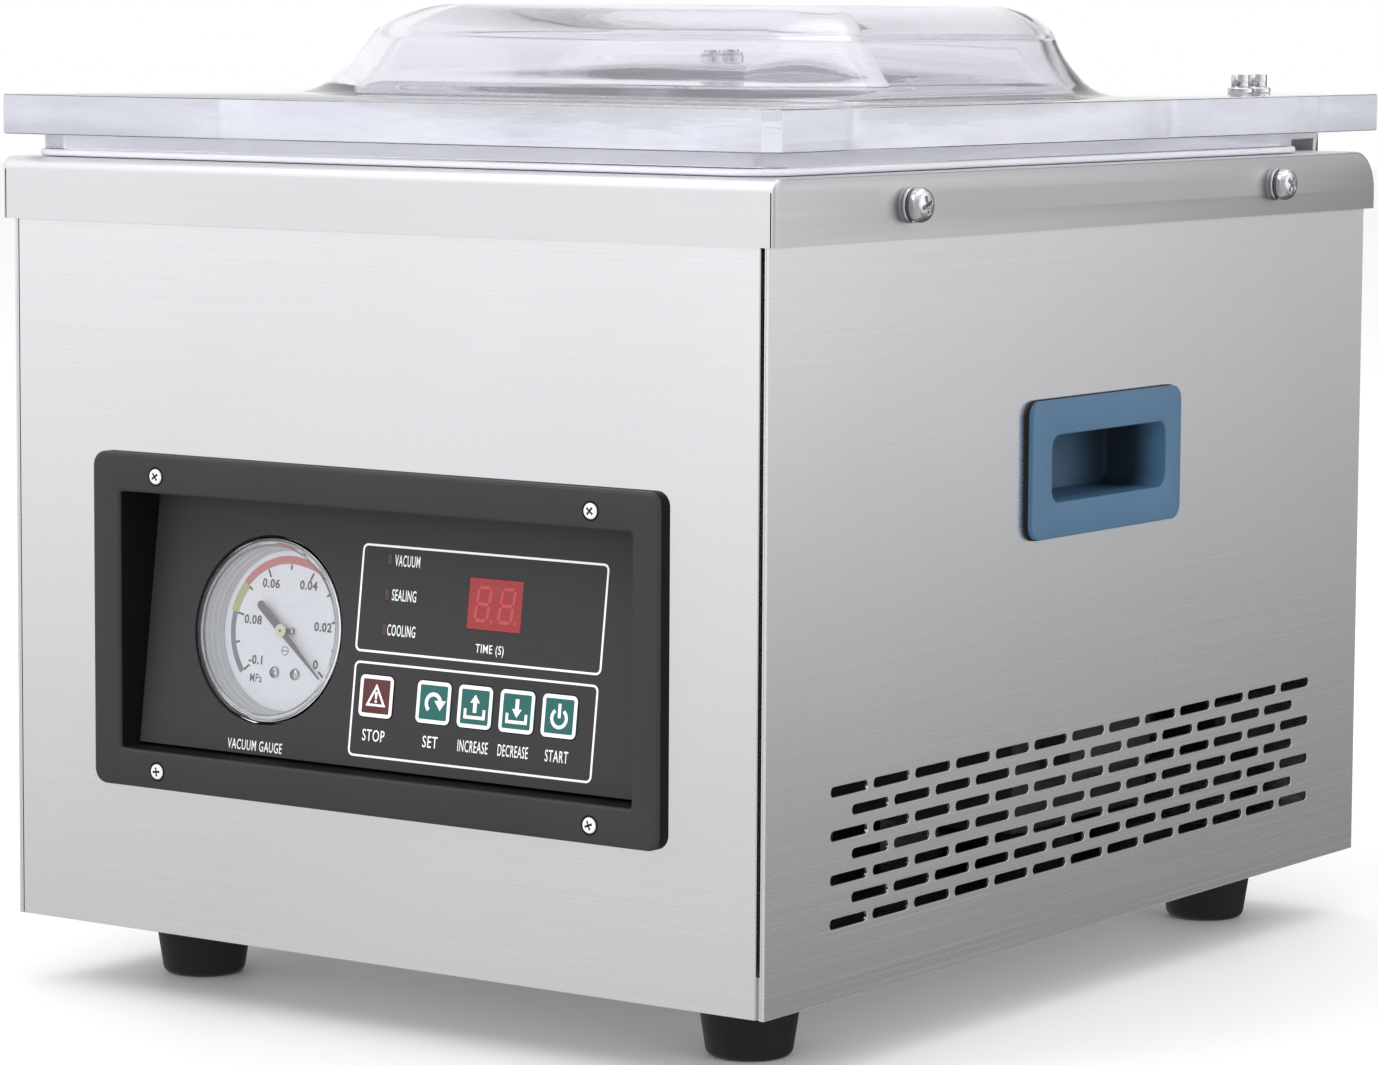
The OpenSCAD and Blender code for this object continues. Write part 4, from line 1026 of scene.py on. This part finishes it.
def key_icon(kind):
    """The white sign on a key, in millimetres about the key's middle."""
    z0, z1 = 0.0, PRINT_T
    s = Solid()
    if kind == "stop":
        tri = [(0, 4.3), (-4.3, -3.4), (4.3, -3.4)]
        inner = [(0, 2.6), (-2.9, -2.6), (2.9, -2.6)]
        s.join(band(tri, inner, z0, z1))
        s.join(slab([(-0.55, 1.5), (-0.35, -1.0), (0.35, -1.0), (0.55, 1.5)], z0, z1))
        s.join(slab(arc(0, -1.75, 0.5, 0, 330, 11), z0, z1))
    elif kind == "set":
        s.join(stroke(arc(0, -0.2, 3.0, 232, 12, 26), 1.35, z0, z1))
        s.join(slab([(0.4, 0.7), (5.3, 0.9), (2.9, -2.6)], z0, z1))
    elif kind in ("increase", "decrease"):
        s.join(slab([(-4.5, -4.1), (4.5, -4.1), (4.5, -3.0), (-4.5, -3.0)], z0, z1))
        for side in (-1, 1):
            wall = [(side * 4.5, -3.0), (side * 4.5, -0.7), (side * 3.4, -0.7), (side * 3.4, -3.0)]
            s.join(slab(wall[::side], z0, z1))
        if kind == "increase":
            s.join(slab([(-0.75, -1.9), (0.75, -1.9), (0.75, 1.6), (-0.75, 1.6)], z0, z1))
            s.join(slab([(-2.0, 1.4), (2.0, 1.4), (0, 4.2)], z0, z1))
        else:
            s.join(slab([(-0.75, 0.6), (0.75, 0.6), (0.75, 4.2), (-0.75, 4.2)], z0, z1))
            s.join(slab([(-2.0, 0.8), (0, -2.1), (2.0, 0.8)], z0, z1))
    else:
        s.join(stroke(arc(0, -0.7, 3.0, 125, 415, 30), 1.2, z0, z1))
        s.join(slab([(-0.6, -0.6), (0.6, -0.6), (0.6, 4.2), (-0.6, 4.2)], z0, z1))
    return s


def make_keys():
    for kind, x in KEYS.items():
        at = PLATE @ Matrix.Translation((x * MM, KEY_S * MM, 0.0003 + 0.00001))
        ink = band(box_ring(14.3, 14.3, 1.9, 0, 0, 6), box_ring(11.7, 11.7, 0.5, 0, 0, 6), 0.0, PRINT_T)
        ink.join(key_icon(kind))
        scaled(ink)
        put(kind + "_key_printing", ink.v, ink.f, "print_white", kind + "_button", at)


def make_digits():
    """Two unlit seven-segment digits behind the window, a little lighter than the window."""
    s = Solid()
    for cx in (-5.0, 5.0):
        w, h, t = 2.6, 5.6, 0.55
        lean = 0.10
        def seg(x0, y0, x1, y1):
            s.join(stroke([(cx + x0 + lean * y0, y0), (cx + x1 + lean * y1, y1)], 2 * t, 0, 0.03))
        for y in (-h, 0, h):
            seg(-w + 0.5, y, w - 0.5, y)
        for x in (-w, w):
            seg(x, 0.6, x, h - 0.6)
            seg(x, -h + 0.6, x, -0.6)
        s.join(slab(arc(cx + w + 1.2, -h - 0.1, 0.55, 0, 330, 11), 0, 0.03))
    scaled(s)
    at = PLATE @ Matrix.Translation((0.0436, 0.0599, -0.00005 + 0.00001))
    put("display_digits", s.v, s.f, "segment_red", "case", at)


make_plate_print()
make_keys()
make_digits()

# ---------------------------------------------------------------- gauge

GAUGE = PLATE @ Matrix.Translation((-0.0535, 0.044, 0))
DIAL_Z = -10.3


ZERO_ANGLE = -40


def dial_angle(value):
    return ZERO_ANGLE + 2600 * value


def dial_band(v0, v1, r0, r1, z, end_r=None):
    a0, a1 = dial_angle(v0), dial_angle(v1)
    outer = arc(0, 0, r1, a0, a1, 30)
    inner = arc(0, 0, r0, a0, a1, 30)
    if end_r is not None:
        inner = []
        for k in range(31):
            r = end_r + (r0 - end_r) * min(1.0, (k / 30) * 2.0)
            a = math.radians(a0 + (a1 - a0) * k / 30)
            inner.append((r * math.cos(a), r * math.sin(a)))
    top = [(x, y, z + 0.04) for x, y in outer] + [(x, y, z + 0.04) for x, y in reversed(inner)]
    low = [(x, y, z) for x, y, _ in top]
    return loft([low, top])


def make_gauge():
    # dial with its two screws
    disc = lathe([(0, DIAL_Z - 0.6), (28.3, DIAL_Z - 0.6), (28.4, DIAL_Z - 0.3), (28.3, DIAL_Z),
                  (0, DIAL_Z)], 96)
    scaled(disc)
    put("gauge_dial_plate", disc.v, disc.f, "dial_white", "case", where=GAUGE, cad=("gauge_dial",))
    z = DIAL_Z + 0.01
    for name, mat, shape in (
            ("dial_slate_arc", "print_slate", dial_band(0.08, 0.1, 23.1, 25.2, z)),
            ("dial_olive_arc", "print_olive", dial_band(0.07, 0.08, 22.7, 26.0, z)),
            ("dial_red_arc", "print_red", dial_band(0.02, 0.07, 23.4, 26.2, z, 26.1))):
        scaled(shape)
        put(name, shape.v, shape.f, mat, "case", GAUGE)
    ink = Solid()
    for k in range(11):
        v = k / 100
        a = math.radians(dial_angle(v))
        r0 = 20.2 if k % 2 == 0 else 21.3
        d = Vector((math.cos(a), math.sin(a)))
        ink.join(stroke([tuple(d * r0), tuple(d * 23.2)], 0.75, z, z + 0.04))
    for text, v, r, w in (("0", 0.001, 17.6, 2.2), ("0.02", 0.0188, 16.2, 7.8), ("0.04", 0.0398, 18.4, 7.8),
                          ("0.06", 0.0608, 18.2, 7.8), ("0.08", 0.0806, 15.7, 7.8), ("-0.1", 0.1002, 17.0, 6.2)):
        a = math.radians(dial_angle(v))
        x, y = r * math.cos(a), r * math.sin(a)
        ink.join(words(text, x - w / 2, x + w / 2, y, 3.3, z, z + 0.04, 0.03))
    ink.join(words("MPa", -14.8, -9.4, -17.4, 3.0, z, z + 0.04, 0.006))
    ink.join(band(arc(0, -7.0, 1.6, 0, 345, 23), arc(0, -7.0, 1.35, 0, 345, 23), z, z + 0.04))
    ink.join(stroke([(-1.3, -7.0), (1.3, -7.0)], 0.3, z, z + 0.04))
    scaled(ink)
    put("dial_printing", ink.v, ink.f, "print_dark", "case", GAUGE)
    screws = Solid()
    for i, x in enumerate((-3.7, 5.5)):
        head = scaled(cross_head(2.2, 1.3, 0.35, (1.3, 0.3), 28), 1.0)
        screws.join(head.moved(Matrix.Translation((x, -14.8, DIAL_Z)) @ Matrix.Rotation(0.5 + i, 4, "Z")))
    pin = lathe([(0, DIAL_Z), (1.5, DIAL_Z), (1.5, DIAL_Z + 1.2), (1.1, DIAL_Z + 1.7), (0, DIAL_Z + 1.8)], 28)
    screws.join(pin.moved(Matrix.Translation((3.0, 0, 0))))
    scaled(screws)
    put("dial_screws", screws.v, screws.f, "bright_steel", "case", where=GAUGE)

    # needle: a rounded tail, a tapering pointer and a domed hub
    zn = -7.4
    outline = fillet([(-0.0, 1.15), (-2.0, 1.45), (-13.0, 1.45)], 0.6, 3)
    tail = outline + arc(-13.0, 0, 1.45, 90, 270, 12)[1:-1] + [(x, -y) for x, y in reversed(outline)]
    needle = slab(tail + [(23.8, -0.22), (24.3, 0), (23.8, 0.22)], zn, zn + 0.5, 0.12)
    needle.join(lathe([(0, -14), (0.9, -14), (0.9, zn), (0, zn)], 20))
    scaled(needle)
    turn = GAUGE @ Matrix.Rotation(math.radians(ZERO_ANGLE), 4, "Z")
    put("gauge_needle_pointer", needle.v, needle.f, "needle_grey", "needle", where=turn, cad=("gauge_needle",))
    hub = lathe([(0, zn + 0.4), (2.3, zn + 0.4), (2.3, zn + 0.8), (1.9, zn + 1.0), (0.6, zn + 1.0),
                 (0.5, zn + 0.8), (0, zn + 0.8)], 36)
    scaled(hub)
    put("needle_hub", hub.v, hub.f, "hub_yellow", "needle", turn)
    dot = lathe([(0, zn + 0.79), (0.48, zn + 0.79), (0.42, zn + 0.95), (0, zn + 1.0)], 20)
    scaled(dot)
    put("needle_pin", dot.v, dot.f, "print_dark", "needle", turn)

    # stepped liner between the ring and the dial
    steps = [(31.2, -1.2), (30.6, -1.3), (30.35, -1.6), (30.6, -1.9), (30.2, -2.9), (29.85, -3.1), (30.1, -3.4),
             (29.7, -5.0), (29.3, -5.2), (29.55, -5.5), (29.0, -7.2), (28.5, -7.4), (28.75, -7.7), (27.9, -9.8),
             (28.2, -10.2), (30.2, -10.2), (30.9, -4.5), (31.2, -4.4), (31.2, -1.2)]
    liner = lathe(steps, 128)
    scaled(liner)
    put("gauge_liner", liner.v, liner.f, "liner_white", "case", GAUGE, angle=20)

    # clear lens: a ring with soft ridges and a thin pane
    ring = [(29.6, -1.1), (29.4, -0.3), (30.0, 0.0), (30.5, -0.35), (31.0, 0.0), (31.7, 0.0), (32.2, -0.6), (32.2, -4.5),
            (31.3, -4.5), (31.3, -1.1), (29.6, -1.1)]
    rim = lathe(ring, 128)
    scaled(rim)
    put("gauge_lens_ring", rim.v, rim.f, "lens_ring", "case", GAUGE, angle=50,
        cad=("gauge_lens",))
    pane = lathe([(0, -0.95), (29.55, -0.95), (29.55, -0.5), (0, -0.4)], 96)
    scaled(pane)
    put("gauge_lens_pane", pane.v, pane.f, "lens_clear", "case", where=GAUGE)


make_gauge()

# ---------------------------------------------------------------- handles and feet


def make_handle(side):
    """Right handle in (y, z) about the side panel, turned over for the left."""
    x0 = CASE_W / 2 + 0.00005
    out = 0.003
    n = 8

    def plate(inset, x):
        ring = box_ring(0.104 - 2 * inset, 0.0484 - 2 * inset, 0.0055 - inset * 0.5, GRIP_Y, GRIP_Z, n)
        return [(x, y, z) for y, z in ring]

    def mouth(grow, x):
        ring = box_ring(0.080 + 2 * grow, 0.0236 + 2 * grow, 0.005 + grow * 0.6, POCKET_Y, GRIP_Z, n)
        return [(x, y, z) for y, z in ring]

    def wall(x):
        return [(x, y, z) for y, z in box_ring(0.085, 0.0286, 0.0055, POCKET_Y, GRIP_Z, n)]

    soft, lip = 0.0005, 0.0005
    rings = [plate(0, x0), plate(0, x0 + out - soft)]
    rings += [plate(soft * (1 - math.cos(a)), x0 + out - soft * (1 - math.sin(a)))
              for a in (math.radians(90 * k / 4) for k in range(1, 5))]
    rings += [mouth(lip * (1 - math.sin(a)), x0 + out - lip * (1 - math.cos(a)))
              for a in (math.radians(90 * k / 5) for k in range(0, 6))]
    deep = CASE_W / 2 - 0.0225
    rings += [mouth(0, deep + 0.002), mouth(-0.0006, deep + 0.0006), mouth(-0.002, deep)]
    inside = [wall(deep - 0.0025), wall(x0)]
    shape = loft(rings, cap=False)
    count = len(rings[0])
    base = len(shape.v)
    last = base - count
    shape.f.append(tuple(last + k for k in range(count)))
    shape.v += [Vector(p) for ring in inside for p in ring]
    shape.f.append(tuple(base + k for k in range(count)))
    for k in range(count):
        j = (k + 1) % count
        shape.f.append((base + k, base + j, base + count + j, base + count + k))
        shape.f.append((base + count + k, base + count + j, j, k))
    if side < 0:
        shape.moved(Matrix.Scale(-1, 4, (1, 0, 0)))
    name = "right" if side > 0 else "left"
    put("handle_moulding_" + name, shape.v, shape.f, "handle_blue", "case", angle=28, cad=("handle_" + name,))


def make_handle_dark_band(side):
    """Thin black band between the grip's flange and the panel, showing as a dark outline round the flange."""
    x0, t = CASE_W / 2 + 0.00002, 0.0011
    outer = box_ring(0.1046, 0.0490, 0.0058, GRIP_Y, GRIP_Z, 8)
    inner = box_ring(0.0866, 0.0302, 0.0058, POCKET_Y, GRIP_Z, 8)
    shape = loft([[(x0, y, z) for y, z in outer], [(x0 + t, y, z) for y, z in outer],
                  [(x0 + t, y, z) for y, z in inner], [(x0, y, z) for y, z in inner]], wrap=True)
    shape.moved(Matrix.Scale(side, 4, (1, 0, 0)))
    name = "right" if side > 0 else "left"
    put("handle_dark_band_" + name, shape.v, shape.f, "black_rubber", "case")


for side in (1, -1):
    make_handle(side)
    make_handle_dark_band(side)


def make_feet():
    shape = Solid()
    top = 0.0249
    profile = [(0.0026, 0.015), (0.006, 0.015), (0.006, 0.0), (0.0118, 0.0)]
    profile += [(0.0118 + 0.0032 * math.sin(a), 0.0032 * (1 - math.cos(a))) for a in
                (math.radians(78 * k / 6) for k in range(1, 7))]
    profile += [(0.0172, 0.0175), (0.0178, 0.0215), (0.0180, 0.0236), (0.0179, top), (0.0026, top),
                (0.0026, 0.015)]
    for x in (-0.120, 0.120):
        for y in (-0.152, 0.163):
            shape.join(lathe(profile, 72).moved(Matrix.Translation((x, y, 0))))
    put("rubber_foot_set", shape.v, shape.f, "black_rubber", "case", angle=30, cad=("rubber_feet",))


make_feet()

# ---------------------------------------------------------------- springs


def coil(radius, wire, turns, length, steps=20, sides=8):
    """A helical spring along Z, from 0 to length."""
    rings = []
    total = int(turns * steps)
    for i in range(total + 1):
        a = 2 * math.pi * i / steps
        t = i / total
        c = Vector((radius * math.cos(a), radius * math.sin(a), wire + (length - 2 * wire) * t))
        out = Vector((math.cos(a), math.sin(a), 0))
        up = Vector((0, 0, 1))
        turns_round = [2 * math.pi * k / sides for k in range(sides)]
        rings.append([c + out * wire * math.cos(q) + up * wire * math.sin(q) for q in turns_round])
    return loft(rings)


def make_springs():
    torsion = Solid()
    for side in (-1, 1):
        turn = Matrix.Rotation(side * math.pi / 2, 4, "Y")
        at = Matrix.Translation((side * 0.064, 0.211, 0.290)) @ turn
        torsion.join(coil(0.0042, 0.0008, 20, 0.036).moved(at))
    put("lid_balance_springs", torsion.v, torsion.f, "bright_steel", "case", cad=("hinge_springs",))


make_springs()
finish_cad("lift_springs", "bright_steel")

# ---------------------------------------------------------------- stage, light


def round_ramp(tree, vector, stops):
    """A grey level by azimuth. Stops are (degrees from the back towards the right, level)."""
    turn = tree.nodes.new("ShaderNodeTexGradient")
    turn.gradient_type = "RADIAL"
    tree.links.new(vector, turn.inputs["Vector"])
    ramp = tree.nodes.new("ShaderNodeValToRGB")
    tree.links.new(turn.outputs["Fac"], ramp.inputs["Fac"])
    places = sorted((((90 - az + 180) % 360) / 360, v) for az, v in stops)
    first, last = places[0], places[-1]
    share = first[0] / (first[0] + 1 - last[0])
    seam = first[1] + (last[1] - first[1]) * share
    places = [(0.0, seam)] + places + [(1.0, seam)]
    els = ramp.color_ramp.elements
    while len(els) < len(places):
        els.new(0.5)
    for el, (at, v) in zip(els, places):
        el.position = at
        el.color = (v, v, v * 1.005, 1)
    return ramp.outputs["Color"]


def blend_grey(tree, fac, a, b):
    mix = tree.nodes.new("ShaderNodeMix")
    mix.data_type = "RGBA"
    tree.links.new(fac, mix.inputs["Factor"])
    for key, value in ((6, a), (7, b)):
        if isinstance(value, float):
            mix.inputs[key].default_value = (value, value, value * 1.005, 1)
        else:
            tree.links.new(value, mix.inputs[key])
    return mix.outputs[2]


# Levels by azimuth, in degrees from the back towards the right: at the horizon, and looking down at the floor
HORIZON = ((-60, 1.0), (-27, 1.0), (-13, 0.75), (-2, 0.35), (8, 0.15), (18, 0.22), (27, 0.62), (34, 1.15), (45, 1.45),
           (75, 1.2), (100, 1.0), (125, 0.6), (150, 0.5), (175, 0.6), (-168, 1.0), (-155, 1.32), (-130, 1.22),
           (-110, 1.0), (-90, 0.9))
BELOW = ((-60, 0.7), (-27, 0.6), (-5, 0.3), (10, 0.08), (25, 0.10), (45, 0.22), (70, 0.4), (100, 0.6), (150, 0.5),
         (175, 0.5), (-160, 0.62), (-145, 0.55), (-120, 0.40), (-100, 0.6))


def make_stage():
    """Plain pale floor. Glossy rays don't see it: the steel mirrors the studio's gradient instead."""
    s = Shader("pale_floor", (0.93, 0.93, 0.935), 0.6)
    s.mottle(s.noise(3.0), 0.004)
    s.vary_rough(s.noise(40.0), 0.05)
    size, steps = 9.0, 48
    turns = [2 * math.pi * k / steps for k in range(steps)]
    ring = [(size * math.cos(q), size * math.sin(q), 0) for q in turns]
    mesh = bpy.data.meshes.new("floor")
    mesh.from_pydata(ring, [], [tuple(range(steps))])
    mesh.materials.append(s.m)
    floor = bpy.data.objects.new("floor", mesh)
    scene.collection.objects.link(floor)
    floor.visible_glossy = False


def make_world():
    """Plain white light, with a soft gradient by direction for what is mirrored or seen through the lid."""
    world = bpy.data.worlds.new("studio")
    scene.world = world
    world.use_nodes = True
    t = world.node_tree
    tc, parts = t.nodes.new("ShaderNodeTexCoord"), t.nodes.new("ShaderNodeSeparateXYZ")
    t.links.new(tc.outputs["Generated"], parts.inputs[0])
    level = smooth_range(t, parts.outputs["Z"], -0.22, 0.0)
    near = blend_grey(t, level, round_ramp(t, tc.outputs["Generated"], BELOW),
                      round_ramp(t, tc.outputs["Generated"], HORIZON))
    up = smooth_range(t, parts.outputs["Z"], 0.40, 0.80)
    studio = blend_grey(t, up, near, 0.95)
    path, plain = t.nodes.new("ShaderNodeLightPath"), t.nodes.new("ShaderNodeMath")
    plain.operation = "MAXIMUM"
    t.links.new(path.outputs["Is Camera Ray"], plain.inputs[0])
    t.links.new(path.outputs["Is Diffuse Ray"], plain.inputs[1])
    t.links.new(blend_grey(t, plain.outputs[0], studio, 1.0), t.nodes["Background"].inputs["Color"])
    t.nodes["Background"].inputs["Strength"].default_value = 1.0


def area(name, at, to, size, power, mirrored=True):
    data = bpy.data.lights.new(name, "AREA")
    data.shape = "RECTANGLE"
    data.size, data.size_y = size
    data.energy = power
    ob = bpy.data.objects.new(name, data)
    ob.location = at
    ob.rotation_mode = "QUATERNION"
    ob.rotation_quaternion = (Vector(to) - Vector(at)).to_track_quat("-Z", "Y")
    scene.collection.objects.link(ob)
    ob.visible_glossy = mirrored


make_stage()
make_world()
area("key_softbox", (-1.2, -2.2, 2.9), (0, 0, 0.15), (1.6, 1.6), 30)
area("front_fill", (0.6, -2.4, 0.7), (0, -0.2, 0.13), (0.8, 0.8), 12, mirrored=False)
area("side_fill", (2.3, -0.2, 0.75), (0.16, 0, 0.25), (0.8, 0.8), 9, mirrored=False)
area("top_softbox", (0.2, 0.3, 2.6), (0, 0, 0.2), (2.4, 2.4), 14)
scene.view_settings.view_transform = "Standard"
scene.view_settings.look = "None"
